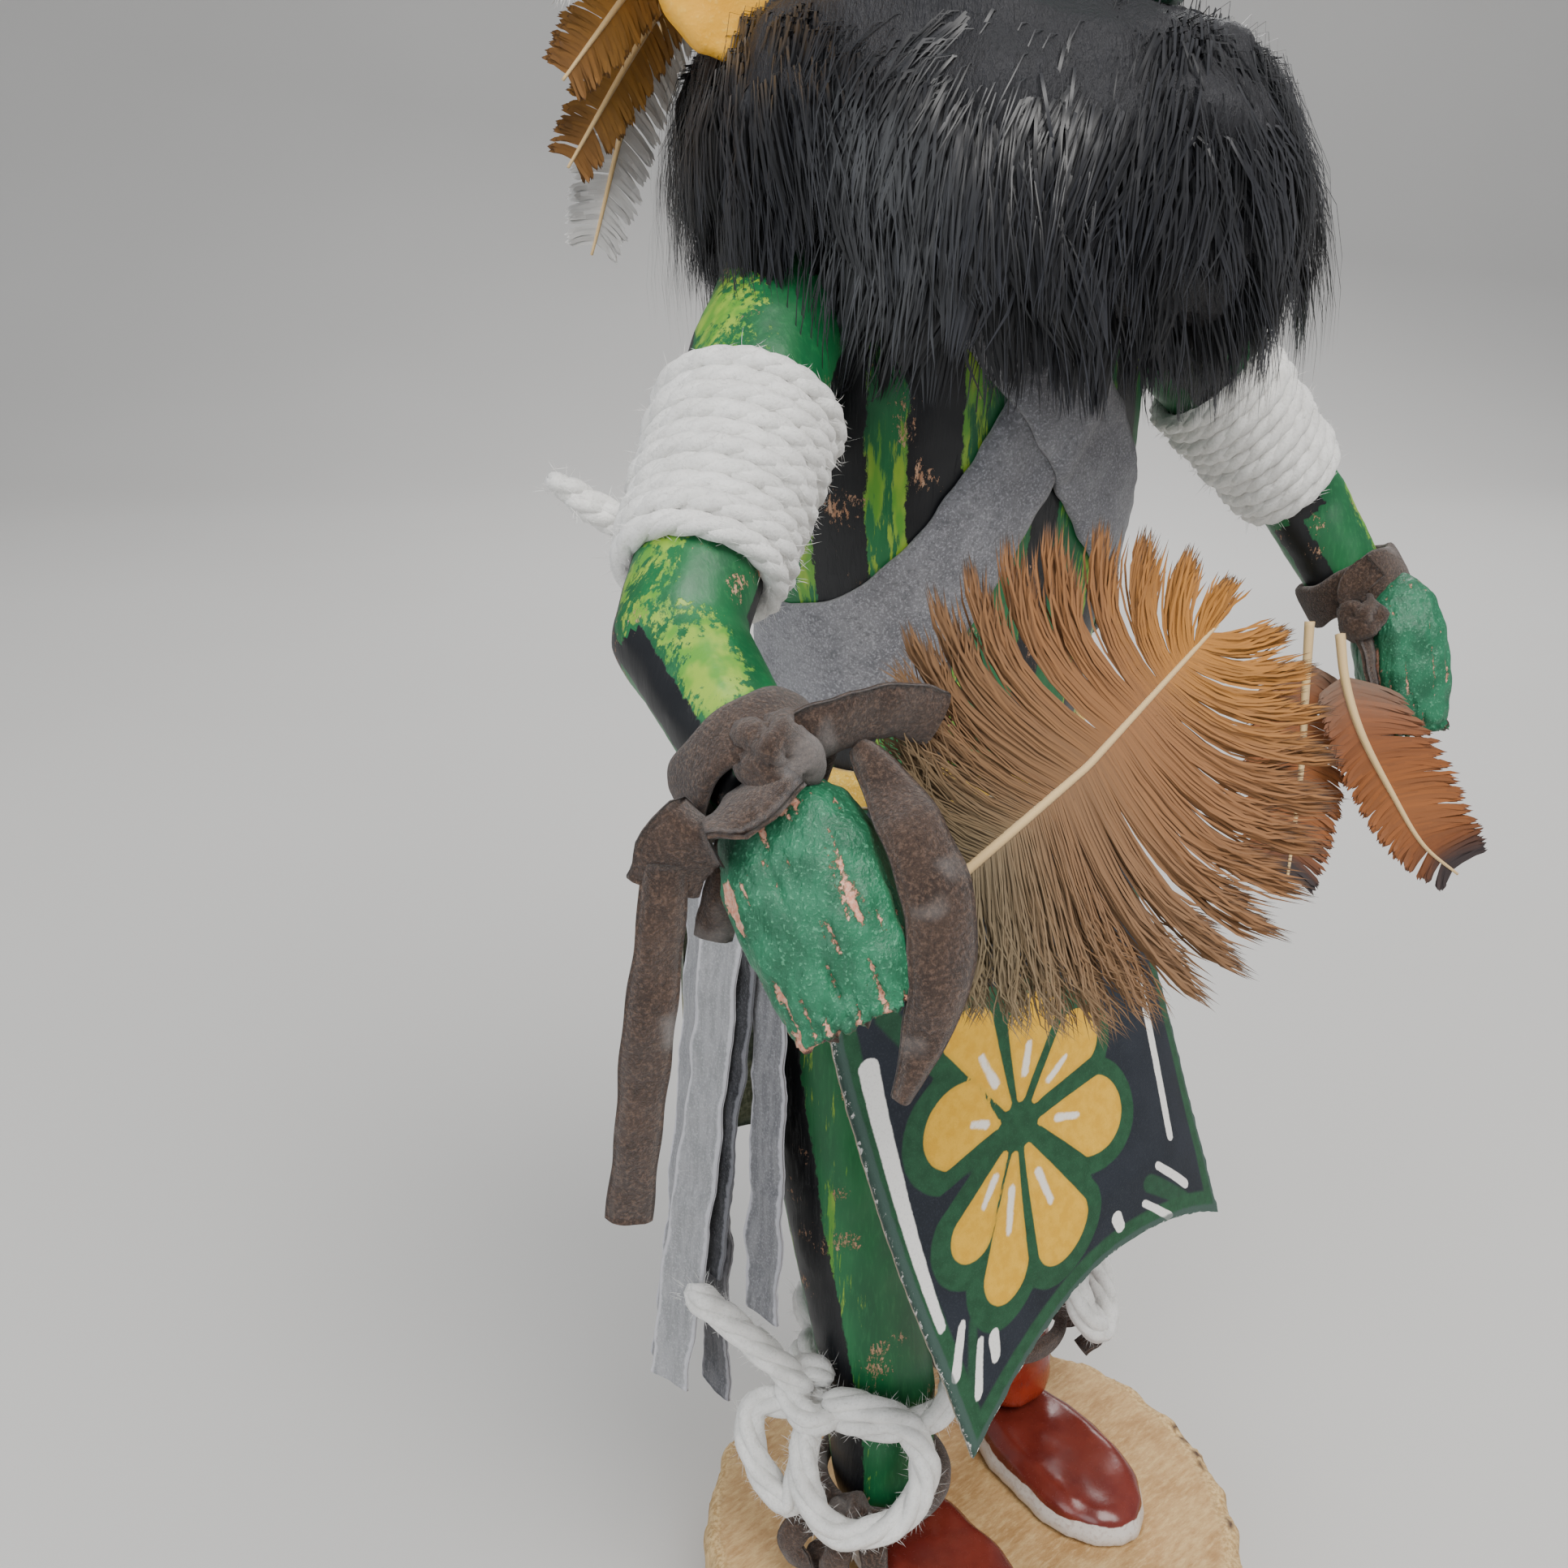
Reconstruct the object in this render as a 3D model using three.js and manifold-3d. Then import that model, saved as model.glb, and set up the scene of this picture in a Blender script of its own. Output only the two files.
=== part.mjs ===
// A carved and dressed kachina doll standing on a wooden slab.
// Millimetres, +Z up. The figure faces -Y and its left side is +X. The origin is the centre of
// the slab's underside. Every group of parts below has its own section.

import * as THREE from 'three';
import { mergeVertices } from 'three/addons/utils/BufferGeometryUtils.js';
import Module from 'manifold-3d';

const wasm = await Module();
wasm.setup();

// ---------------------------------------------------------------- driving dimensions

const GAP = 0.3; // clearance kept between neighbouring solids
const TOLERANCE = 0.12; // how far merging small faces may move a surface
const SOFT_TOLERANCE = 0.22; // the same on knotted lace and cord
const MID_X = 3; // the figure stands a little to its left on the slab

const BASE_RADIUS = 42.5;
const BASE_HEIGHT = 20;
const FOOT_HEIGHT = 7;
const FOOT_LENGTH = 36;
const FOOT_WIDTH = 18.5;
const ANKLE_Z = BASE_HEIGHT + GAP + FOOT_HEIGHT + GAP;

const TORSO_POWER = 2.4; // squareness of the torso's section
// Torso stations from the crotch to the top of the neck: height, centre y, half width, half depth.
const TORSO = [
  [104, 22.5, 20, 12],
  [111, 22, 24, 16],
  [122, 21.5, 25, 17],
  [148, 19.2, 22.8, 17.5],
  [165, 18, 25, 18],
  [180, 17.2, 28, 18.5],
  [192, 16.5, 29, 18.5],
  [203, 16, 28.5, 18],
  [212, 15, 24.5, 16.5],
  [220, 13.5, 18.5, 14.5],
  [236, 11, 12.5, 12.5],
];

const HEAD_Z = 236.3;
const HEAD_RADIUS = 23.5;
const NECK_Y = 12;

const YARN = 2.1; // pitch of the yarn wound round the upper arms
const YARN_TURNS = 10;
const CORD = 4.6; // thick twisted cord round the legs
const LACE_THICK = 1.6; // suede lace of the ties
const STRAP_THICK = 1.3; // bandolier suede
const LEATHER = 1.3; // apron leather

// ---------------------------------------------------------------- materials

const paint = (color, roughness = 0.6) =>
  new THREE.MeshStandardMaterial({ color, roughness, metalness: 0 });

const finish = {
  slab: paint(0xc09a5e, 0.9),
  green: paint(0x2f8f52, 0.55),
  hand: paint(0x3b8a66, 0.6),
  boot: paint(0x7a2b22, 0.35),
  mask: paint(0x14402c, 0.55),
  ear: paint(0xf0a020, 0.6),
  fur: paint(0x16181f, 0.8),
  suede: paint(0x9797a0, 0.95),
  belt: paint(0xd8ac30, 0.9),
  apron: paint(0x2a2f38, 0.7),
  cloth: paint(0x6f7266, 0.95),
  lightStrip: paint(0xb9bcc2, 0.95),
  darkStrip: paint(0x232327, 0.95),
  greyStrip: paint(0x777880, 0.95),
  yarn: paint(0xeeeeea, 0.95),
  lace: paint(0x4b382f, 0.95),
  feather: paint(0xa86d2a, 0.7),
  plume: paint(0xf0eee6, 0.8),
};

// ---------------------------------------------------------------- solids

const v = (x, y, z) => new THREE.Vector3(x, y, z);
const UP = v(0, 0, 1);

/** A closed solid from a geometry: only its positions are used, with shared corners merged. */
function solid(geometry) {
  const bare = geometry.index ? geometry.clone() : geometry;
  bare.deleteAttribute('normal');
  bare.deleteAttribute('uv');
  const merged = mergeVertices(bare, 1e-4);
  const mesh = new wasm.Mesh({
    numProp: 3,
    vertProperties: new Float32Array(merged.attributes.position.array),
    triVerts: new Uint32Array(merged.index.array),
  });
  return new wasm.Manifold(mesh);
}

/** The geometry of a solid, for a mesh of the model. */
function shell(body, tolerance) {
  const mesh = body.simplify(tolerance).getMesh();
  const geometry = new THREE.BufferGeometry();
  geometry.setAttribute('position', new THREE.BufferAttribute(mesh.vertProperties, 3));
  geometry.setIndex(new THREE.BufferAttribute(mesh.triVerts, 1));
  return geometry;
}

const join = (bodies) => bodies.reduce((sum, next) => sum.add(next));
const cutBy = (body, cutters) => cutters.reduce((rest, next) => rest.subtract(next), body);

/** Six times the volume that an indexed surface encloses, negative where it is inside out. */
function enclosed(positions, index) {
  const corner = (i) => v(positions[3 * i], positions[3 * i + 1], positions[3 * i + 2]);
  let sum = 0;
  for (let i = 0; i < index.length; i += 3) {
    sum += corner(index[i]).dot(corner(index[i + 1]).cross(corner(index[i + 2])));
  }
  return sum;
}

/** A solid skin through rings of equally many points, which all run the same way round. Closed
 * joins the last ring to the first, otherwise both ends are capped. */
function loft(rings, closed = false) {
  const sides = rings[0].length;
  const positions = rings.flat().flatMap((p) => [p.x, p.y, p.z]);
  const index = [];
  const bands = closed ? rings.length : rings.length - 1;
  for (let i = 0; i < bands; i += 1) {
    const next = ((i + 1) % rings.length) * sides;
    for (let j = 0; j < sides; j += 1) {
      const k = (j + 1) % sides;
      index.push(i * sides + j, i * sides + k, next + k);
      index.push(i * sides + j, next + k, next + j);
    }
  }
  if (!closed) {
    for (const ring of [0, rings.length - 1]) {
      const centre = rings[ring].reduce((sum, p) => sum.add(p), v(0, 0, 0)).divideScalar(sides);
      const hub = positions.length / 3;
      positions.push(centre.x, centre.y, centre.z);
      for (let j = 0; j < sides; j += 1) {
        const a = ring * sides + j;
        const b = ring * sides + ((j + 1) % sides);
        index.push(...(ring === 0 ? [hub, b, a] : [hub, a, b]));
      }
    }
  }
  if (enclosed(positions, index) < 0) index.reverse();
  const geometry = new THREE.BufferGeometry();
  geometry.setAttribute('position', new THREE.Float32BufferAttribute(positions, 3));
  geometry.setIndex(index);
  return solid(geometry);
}

/** A level oval ring of points; power 2 is an ellipse and more is squarer. */
function oval(cx, cy, z, a, b, power = 2, sides = 20) {
  return Array.from({ length: sides }, (_, i) => {
    const angle = (i / sides) * 2 * Math.PI;
    const [c, s] = [Math.cos(angle), Math.sin(angle)];
    const x = cx + a * Math.sign(c) * Math.abs(c) ** (2 / power);
    return v(x, cy + b * Math.sign(s) * Math.abs(s) ** (2 / power), z);
  });
}

/** A round limb along a bent line. At each bend the section lies in the mitre plane. */
function limb(points, radii, sides = 16) {
  const rings = points.map((point, i) => {
    const into = point.clone().sub(points[Math.max(i - 1, 0)]);
    const out = points[Math.min(i + 1, points.length - 1)].clone().sub(point);
    const along = (into.lengthSq() > 0 ? into : out).clone().normalize();
    const plane = along.clone().add((out.lengthSq() > 0 ? out : into).clone().normalize());
    plane.normalize();
    const across = v(1, 0, 0).cross(along).lengthSq() > 0.1 ? v(1, 0, 0) : v(0, 1, 0);
    const side = across.cross(along).normalize();
    const third = along.clone().cross(side);
    return Array.from({ length: sides }, (_, j) => {
      const angle = (j / sides) * 2 * Math.PI;
      const arm = side.clone().multiplyScalar(Math.cos(angle) * radii[i]);
      arm.addScaledVector(third, Math.sin(angle) * radii[i]);
      arm.addScaledVector(along, -arm.dot(plane) / along.dot(plane));
      return point.clone().add(arm);
    });
  });
  return loft(rings);
}

/** A flat band along a smooth line. across(t) is the direction of its width. */
function band(points, width, thick, across, steps = 10) {
  const curve = new THREE.CatmullRomCurve3(points);
  const rings = Array.from({ length: steps + 1 }, (_, i) => {
    const t = i / steps;
    const along = curve.getTangent(t);
    const wide = across(t).clone().addScaledVector(along, -across(t).dot(along)).normalize();
    const deep = wide.clone().cross(along);
    const w = (typeof width === 'function' ? width(t) : width) / 2;
    const corners = [[-1, -1], [1, -1], [1, 1], [-1, 1]];
    return corners.map(([a, b]) =>
      curve.getPoint(t).addScaledVector(wide, a * w).addScaledVector(deep, (-b * thick) / 2));
  });
  return loft(rings);
}

/** A round cord along a smooth line. */
function cord(points, diameter, steps, sides = 5) {
  const curve = new THREE.CatmullRomCurve3(points);
  const line = curve.getPoints(steps);
  return limb(line, line.map(() => diameter / 2), sides);
}

/** A block from an outline drawn in x and y, extruded along z and then placed. */
function extruded(outline, depth, place, bevel = 0) {
  const shape = new THREE.Shape(outline);
  const geometry = new THREE.ExtrudeGeometry(shape, {
    depth,
    bevelEnabled: bevel > 0,
    bevelSize: bevel,
    bevelThickness: bevel,
    bevelSegments: 1,
    curveSegments: 10,
  });
  geometry.applyMatrix4(place);
  return solid(geometry);
}

/** A matrix that puts local x, y and z on three directions and moves the origin to a point. */
function frameAt(origin, x, y, z) {
  return new THREE.Matrix4().makeBasis(x, y, z).setPosition(origin);
}

const mirrored = (point) => v(2 * MID_X - point.x, point.y, point.z);

const doll = new THREE.Group();
doll.name = 'kachina_doll';

function piece(name, body, material, tolerance = TOLERANCE) {
  const mesh = new THREE.Mesh(shell(body, tolerance), material.clone());
  mesh.name = name;
  doll.add(mesh);
}

// ---------------------------------------------------------------- slab

/** Radius of the sawn slab round its edge, as a share of BASE_RADIUS. */
const slabEdge = (angle) =>
  1 + 0.014 * Math.cos(2 * angle + 0.6) + 0.01 * Math.cos(3 * angle + 2) + 0.006 * Math.cos(7 * angle);

const slabProfile = [[0, 0.975], [1.5, 0.995], [18.4, 0.99], [BASE_HEIGHT, 0.955]];
const slab = loft(slabProfile.map(([z, share]) => Array.from({ length: 32 }, (_, i) => {
  const angle = (i / 32) * 2 * Math.PI;
  const r = BASE_RADIUS * share * slabEdge(angle);
  return v(r * Math.cos(angle), r * Math.sin(angle), z);
})));
piece('base_slab', slab, finish.slab);

// ---------------------------------------------------------------- legs, torso and feet

const LEGS = {
  right: { line: [v(-13.6, 22.8, 118), v(-12.3, 17.4, 80), v(-10.8, 10.2, 45), v(-13, 6.2, ANKLE_Z - 3)] },
  left: { line: [v(19.6, 22.8, 118), v(18.4, 18.4, 80), v(18.2, 12.6, 45), v(18.4, 9, ANKLE_Z - 3)] },
};
const LEG_RADII = [11, 9.7, 8.9, 7.9];

const leg = (side, grow = 0) => limb(LEGS[side].line, LEG_RADII.map((r) => r + grow), 16);
const torso = (grow = 0) => loft(TORSO.map(([z, y, a, b]) =>
  oval(MID_X, y, z, a + grow, b + grow, TORSO_POWER)));
/** Like torso, with its ends moved out as well, for cutting clearances. */
const torsoAround = (grow, sides) => {
  const lift = (i) => (i === 0 ? -grow : i === TORSO.length - 1 ? grow : 0);
  return loft(TORSO.map(([z, y, a, b], i) =>
    oval(MID_X, y, z + lift(i), a + grow, b + grow, TORSO_POWER, sides)));
};
const aboveFeet = new THREE.BoxGeometry(200, 200, 240);
aboveFeet.translate(0, 0, ANKLE_Z + 120);
piece('body', join([torso(), leg('right'), leg('left')]).intersect(solid(aboveFeet)), finish.green);

/** A moccasin block: a rounded outline with a domed top, its heel under the ankle. */
function foot(centre, turn) {
  const half = FOOT_WIDTH / 2;
  const levels = [[0, 1], [2.3, 1], [2.5, 0.95], [5, 0.92], [FOOT_HEIGHT, 0.72]];
  const place = new THREE.Matrix4().makeRotationZ(turn).setPosition(centre);
  return loft(levels.map(([z, share], level) => Array.from({ length: 18 }, (_, i) => {
    const angle = (i / 18) * 2 * Math.PI;
    const toe = Math.max(0, -Math.sin(angle));
    const narrow = 1 - 0.1 * Math.max(0, Math.sin(angle));
    const x = half * share * narrow * Math.cos(angle) * (1 + 0.12 * Math.abs(Math.sin(2 * angle)));
    const y = (FOOT_LENGTH / 2) * (share + (1 - share) * 0.45) * Math.sin(angle);
    const dip = level > 2 ? 0.8 * toe ** 2 * (level - 2) : 0;
    return v(x, y, z - dip).applyMatrix4(place);
  })));
}
const FOOT_PLACES = { right: [v(-13.5, -5.5, 0), -0.05], left: [v(16.4, -3.8, 0), -0.12] };
for (const [side, [centre, turn]] of Object.entries(FOOT_PLACES)) {
  centre.z = BASE_HEIGHT + GAP;
  piece(`foot_${side}`, foot(centre, turn), finish.boot);
}

// ---------------------------------------------------------------- arms and hands

const ARMS = {
  right: { line: [v(-20, 17, 208), v(-33, 9.8, 200), v(-57.5, -6.5, 177.5), v(-60, -23.5, 167.5)] },
  left: { line: [v(26, 17, 208), v(38, 9.5, 200), v(60.6, -0.4, 174), v(64, -9.5, 160)] },
};
const ARM_RADII = { right: [10, 8.6, 6.6, 5.4], left: [10, 8, 6.4, 5.4] };
const arm = (side, grow = 0, sides = 12) =>
  limb(ARMS[side].line, ARM_RADII[side].map((r) => r + grow), sides);

const bodyRoom = torsoAround(GAP);
for (const side of ['right', 'left']) {
  piece(`arm_${side}`, cutBy(arm(side), [bodyRoom]), finish.green);
}

const HAND = { width: 15.5, thick: 11.5, length: 22, slits: 3 };
/** A mitten of a hand hanging from its wrist: domed top, flat fingertips and finger slits. */
function hand({ origin, down, across }, grow = 0) {
  const wide = across.clone().addScaledVector(down, -across.dot(down)).normalize();
  const deep = down.clone().cross(wide);
  const place = frameAt(origin, wide, deep, down);
  const levels = [[-0.06, 0.3], [0, 0.55], [0.1, 0.82], [0.3, 1], [0.6, 1], [1, 0.84]];
  const block = loft(levels.map(([t, share]) =>
    oval(0, 0, t * HAND.length, (HAND.width / 2) * share + grow, (HAND.thick / 2) * share + grow, 3, 14)
      .map((p) => p.applyMatrix4(place))));
  const slits = Array.from({ length: HAND.slits }, (_, i) => {
    const slit = new THREE.BoxGeometry(0.7, 3, HAND.length * 0.42);
    slit.translate((i - 1) * HAND.width * 0.26, -HAND.thick / 2, HAND.length * 0.86);
    slit.applyMatrix4(place);
    return solid(slit);
  });
  return cutBy(block, slits);
}
const HANDS = {
  right: {
    origin: v(-60.5, -24.6, 167.5),
    down: v(0.03, -0.56, -0.83).normalize(),
    across: v(0.6, -0.65, 0.46),
  },
  left: {
    origin: v(64.6, -13.6, 164),
    down: v(-0.05, -0.3, -0.95).normalize(),
    across: v(-0.62, -0.75, 0.2),
  },
};
for (const side of ['right', 'left']) {
  piece(`hand_${side}`, cutBy(hand(HANDS[side]), [arm(side, GAP)]), finish.hand);
}

// ---------------------------------------------------------------- head

const headLevels = [[0, 0.88], [2, 0.98], [7, 1], [30, 1], [39, 0.92], [46, 0.66], [50, 0.2]];
const headRing = ([z, share], grow) =>
  oval(MID_X, NECK_Y, HEAD_Z + z, HEAD_RADIUS * share + grow, HEAD_RADIUS * 0.97 * share + grow, 2, 16);
const head = (grow = 0) => loft(headLevels.map((level) => headRing(level, grow)));
const EYE_Z = HEAD_Z + 25;
const eyes = [-1, 1].map((side) => {
  const slot = new THREE.BoxGeometry(8, 5, 2.4);
  slot.translate(MID_X + side * 8.5, NECK_Y - HEAD_RADIUS * 0.93, EYE_Z);
  return solid(slot);
});
const mouth = limb(
  [v(MID_X, NECK_Y - HEAD_RADIUS + 4, EYE_Z - 11), v(MID_X, NECK_Y - HEAD_RADIUS - 6, EYE_Z - 12)],
  [3.6, 3.2],
  10,
);
piece('head', cutBy(head(), eyes).add(mouth), finish.mask);

/** An ear lobe: a flat oval board standing out from the side of the mask. */
function ear(side, grow = 0, sides = 16) {
  const outline = Array.from({ length: sides }, (_, i) => {
    const angle = (i / sides) * 2 * Math.PI;
    return new THREE.Vector2((9.5 + grow) * Math.cos(angle), (14 + grow) * Math.sin(angle));
  });
  const centre = v(MID_X + side * 31.5, NECK_Y + 8, HEAD_Z + 8.7);
  const outward = v(side * Math.cos(0.35), Math.sin(0.35), 0);
  const place = frameAt(centre, outward, UP, outward.clone().cross(UP));
  return extruded(outline, 2 + grow, place, 0.6 + grow / 2);
}
const earRight = ear(-1);
const earLeft = ear(1);
piece('ear_right', cutBy(earRight, [head(GAP)]), finish.ear);
piece('ear_left', cutBy(earLeft, [head(GAP)]), finish.ear);

// ---------------------------------------------------------------- bandoliers

/** A slab of space across the chest, for cutting a strap from a skin over the torso. */
function diagonal(centre, lean, width) {
  const box = new THREE.BoxGeometry(160, 120, width);
  box.rotateY(lean);
  box.translate(centre.x, centre.y, centre.z);
  return solid(box);
}
const LOWER = { centre: v(-3, 15, 188.2), lean: -Math.atan(1.5), width: 13 };
const UPPER = { centre: v(7.9, 15, 189.5), lean: Math.atan(1.15), width: 14.5 };
const skin = (from, to) => torsoAround(to).subtract(torsoAround(from));
const lowerStrap = skin(GAP, GAP + STRAP_THICK)
  .intersect(diagonal(LOWER.centre, LOWER.lean, LOWER.width));
const overLower = 2 * GAP + STRAP_THICK;
const lowerRoom = torsoAround(overLower)
  .intersect(diagonal(LOWER.centre, LOWER.lean, LOWER.width + 2 * GAP));
const lowerCover = torsoAround(overLower + STRAP_THICK)
  .intersect(diagonal(LOWER.centre, LOWER.lean, LOWER.width + 2 * STRAP_THICK));
const upperStrap = torsoAround(GAP + STRAP_THICK).add(lowerCover)
  .subtract(torsoAround(GAP)).subtract(lowerRoom)
  .intersect(diagonal(UPPER.centre, UPPER.lean, UPPER.width));
const strapCutters = [arm('right', GAP), arm('left', GAP)];
piece('bandolier_under', cutBy(lowerStrap, strapCutters), finish.suede);
piece('bandolier_over', cutBy(upperStrap, strapCutters), finish.suede);

// ---------------------------------------------------------------- belt, apron, cloth and strips

const BELT_Z = [138, 148.5];
const BELT_THICK = 1.6;
const level = (low, high) => {
  const box = new THREE.BoxGeometry(140, 140, high - low);
  box.translate(MID_X, 15, (low + high) / 2);
  return solid(box);
};
piece('belt', skin(GAP, GAP + BELT_THICK).intersect(level(...BELT_Z)), finish.belt);

/** Front apron: painted leather hung over the belt, its lower edge kicked forward in two points. */
const APRON = {
  top: BELT_Z[0] + 7,
  rows: 7,
  columns: 8,
  halfWidth: 25,
  flare: { right: 8, left: 0.5 },
  corners: { right: v(-25.5, -21.3, 64.5), left: v(32.5, -17.3, 72.3) },
  dip: 10,
};
/** A point of the apron's back face, s from -1 at the figure's right to 1 and t from top to bottom. */
function apronPoint(s, t) {
  const { top, halfWidth, flare, corners, dip } = APRON;
  const topY = -1 + 10.5 * Math.abs(s) ** 2.6;
  const upper = v(MID_X + s * halfWidth, topY, top);
  const low = corners.right.clone().lerp(corners.left, (s + 1) / 2);
  low.z += dip * (1 - s * s);
  low.y += 1.5 * (1 - s * s);
  const point = upper.clone().lerp(low, t);
  const hips = Math.sin(Math.PI * Math.min(1, t * 1.15));
  point.y += 2.2 * hips * (1 - 0.5 * s * s);
  point.x += s * (s < 0 ? flare.right : flare.left) * Math.sin(Math.PI * t ** 0.6);
  return point;
}
function apronSolid() {
  const { rows, columns } = APRON;
  const rings = Array.from({ length: rows + 1 }, (_, i) => {
    const back = Array.from({ length: columns + 1 }, (_, j) => apronPoint((2 * j) / columns - 1, i / rows));
    const front = back.map((p) => p.clone().add(v(0, -LEATHER, 0))).reverse();
    return [...back, ...front].reverse();
  });
  return loft(rings.reverse());
}
const beltRoom = skin(0, 2 * GAP + BELT_THICK).intersect(level(BELT_Z[0] - GAP, BELT_Z[1] + GAP));
const legRooms = [leg('right', GAP), leg('left', GAP), torsoAround(GAP), beltRoom];
piece('apron_front', cutBy(apronSolid(), legRooms), finish.apron);

/** Back cloth: a plain woven panel hung from the belt behind the legs. */
const backCloth = band(
  [v(MID_X, 39.6, BELT_Z[0] + 8), v(MID_X, 41.2, 122), v(MID_X, 39.5, 100), v(MID_X, 36.5, 80)],
  (t) => 50 + 8 * t, 1, () => v(1, 0, 0), 6,
);
piece('back_cloth', cutBy(backCloth, legRooms), finish.cloth);

/** Narrow suede strips hung side by side over the right hip. */
const STRIPS = [
  { name: 'strip_pale', x: -27.5, y: 24.5, low: 51, foot: [-11.5, 1.5], width: 7, paint: 'lightStrip' },
  { name: 'strip_black', x: -26.3, y: 22, low: 70, foot: [-7, 1.5], width: 6, paint: 'darkStrip' },
  { name: 'strip_grey', x: -24.8, y: 18.5, low: 66, foot: [-5.5, -4], width: 7, paint: 'greyStrip' },
  { name: 'strip_dark', x: -26.4, y: 27.5, low: 44, foot: [-3.5, -1], width: 7.5, paint: 'greyStrip' },
  { name: 'strip_thin', x: -27.2, y: 31, low: 49, foot: [-9, 1], width: 5, paint: 'lightStrip' },
];
for (const [i, strip] of STRIPS.entries()) {
  const { x, y, low, foot: [dx, dy], width } = strip;
  const top = BELT_Z[0] + 8;
  const line = [v(x + 3, y, top), v(x, y, top - 14), v(x + dx * 0.35, y + dy * 0.4, (top + low) / 2),
    v(x + dx, y + dy, low)];
  const facing = v(-0.25 + 0.12 * i, 1, 0);
  strip.body = cutBy(band(line, width, 1, () => facing, 8), legRooms);
  strip.room = band(line, width + 2 * GAP, 1 + 2 * GAP, () => facing, 8);
}
for (const [i, strip] of STRIPS.entries()) {
  const rooms = STRIPS.slice(0, i).map((other) => other.room);
  piece(strip.name, cutBy(strip.body, rooms), finish[strip.paint]);
}

// ---------------------------------------------------------------- wound and knotted cords

/** Yarn wound round an upper arm: a tapered sleeve with one ridge for each turn. */
const WRAPS = {
  right: { span: [0.13, 0.8], radii: [10.2, 8.8], tail: [v(-51, 3, 184.6), v(-57.4, 7.8, 188.6), v(-62, 8.2, 191.5)] },
  left: { span: [0.24, 0.88], radii: [9.5, 8], tail: [v(56, 8, 182), v(60, 13, 185), v(63, 16, 188)] },
};
const onArm = (side, t) => ARMS[side].line[1].clone().lerp(ARMS[side].line[2], t);
function yarnWrap(side) {
  const { span, radii } = WRAPS[side];
  const [upper, elbow] = ARM_RADII[side].slice(1, 3);
  const steps = YARN_TURNS * 2;
  const [start, end] = span.map((t) => onArm(side, t));
  const along = end.clone().sub(start).normalize();
  const across = v(1, 0, 0).cross(along).normalize();
  const third = along.clone().cross(across);
  const ringAt = (t, radius) => Array.from({ length: 8 }, (_, j) => {
    const angle = (j / 8) * 2 * Math.PI;
    return onArm(side, t).addScaledVector(across, Math.cos(angle) * radius)
      .addScaledVector(third, Math.sin(angle) * radius);
  });
  const outer = Array.from({ length: steps + 1 }, (_, i) => {
    const dip = i % 2 === 0 ? 0.35 * YARN : 0;
    return ringAt(THREE.MathUtils.lerp(...span, i / steps), THREE.MathUtils.lerp(...radii, i / steps) - dip);
  });
  // The bore stays clear of the arm although both are faceted.
  const bore = (t) => ringAt(t, (THREE.MathUtils.lerp(upper, elbow, t) + GAP) / Math.cos(Math.PI / 8));
  return loft([...outer, bore(span[1]), bore(span[0])], true);
}
/** The plain sleeve of space that a wrap fills, for cutting what lies against it. */
const wrapRoom = (side) => limb(WRAPS[side].span.map((t) => onArm(side, t - 0.02)),
  WRAPS[side].radii.map((r) => r + GAP + 0.6), 8);
for (const side of ['right', 'left']) {
  const end = cutBy(cord(WRAPS[side].tail, 4.2, 2), [arm(side, GAP)]);
  piece(`yarn_wrap_${side}`, yarnWrap(side).add(end), finish.yarn);
}

/** A cord ring round a leg, level but for a small tilt. */
function ring(centre, radius, diameter, tilt, sides = 5) {
  const rings = Array.from({ length: 14 }, (_, i) => {
    const angle = (i / 14) * 2 * Math.PI;
    const out = v(Math.cos(angle), Math.sin(angle), tilt * Math.cos(angle));
    return Array.from({ length: sides }, (_, j) => {
      const turn = ((j + 0.5) / sides) * 2 * Math.PI;
      const point = centre.clone().addScaledVector(out, radius + (Math.cos(turn) * diameter) / 2);
      return point.addScaledVector(UP, (Math.sin(turn) * diameter) / 2);
    });
  });
  return loft(rings, true);
}
const knot = (centre, radius) => {
  const ball = new THREE.SphereGeometry(radius, 6, 4);
  ball.translate(centre.x, centre.y, centre.z);
  return solid(ball);
};

/** A thick white cord tied round a leg below the knee, with a bow and a free end on the outside. */
const CORD_TIES = {
  right: {
    ring: [v(-10.9, 10.5, 46.8), 11.9, -0.12],
    knot: v(-24.6, 10.4, 51),
    tail: [v(-24.6, 11, 51), v(-31.8, 16.2, 61.8), v(-38.6, 20.8, 71)],
    back: [v(-12, 22.5, 47), v(-12.8, 24.6, 51), v(-12.6, 26, 55)],
    loops: [
      [v(-24, 8, 51), v(-19.5, 2.5, 50.6), v(-15.6, -1.5, 47.5), v(-15.2, -4.6, 41), v(-20, -4.4, 35),
        v(-27.4, 0.6, 33.6), v(-29.6, 5.4, 39.5), v(-27.4, 8.6, 47)],
      [v(-25.5, 10, 50), v(-30.6, 15.8, 48.6), v(-32.4, 14.6, 42.4), v(-30.6, 8.6, 35.2),
        v(-28.6, 7.6, 41), v(-26.4, 9, 48)],
    ],
  },
};
const overLeg = (point) => v(0.6, 1.6, 8).add(mirrored(point));
CORD_TIES.left = {
  ring: [v(18.3, 14.2, 55), 12.2, 0.12],
  knot: overLeg(CORD_TIES.right.knot),
  tail: CORD_TIES.right.tail.map(overLeg),
  back: CORD_TIES.right.back.map(overLeg),
  loops: CORD_TIES.right.loops.map((points) => points.map(overLeg)),
};
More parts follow.
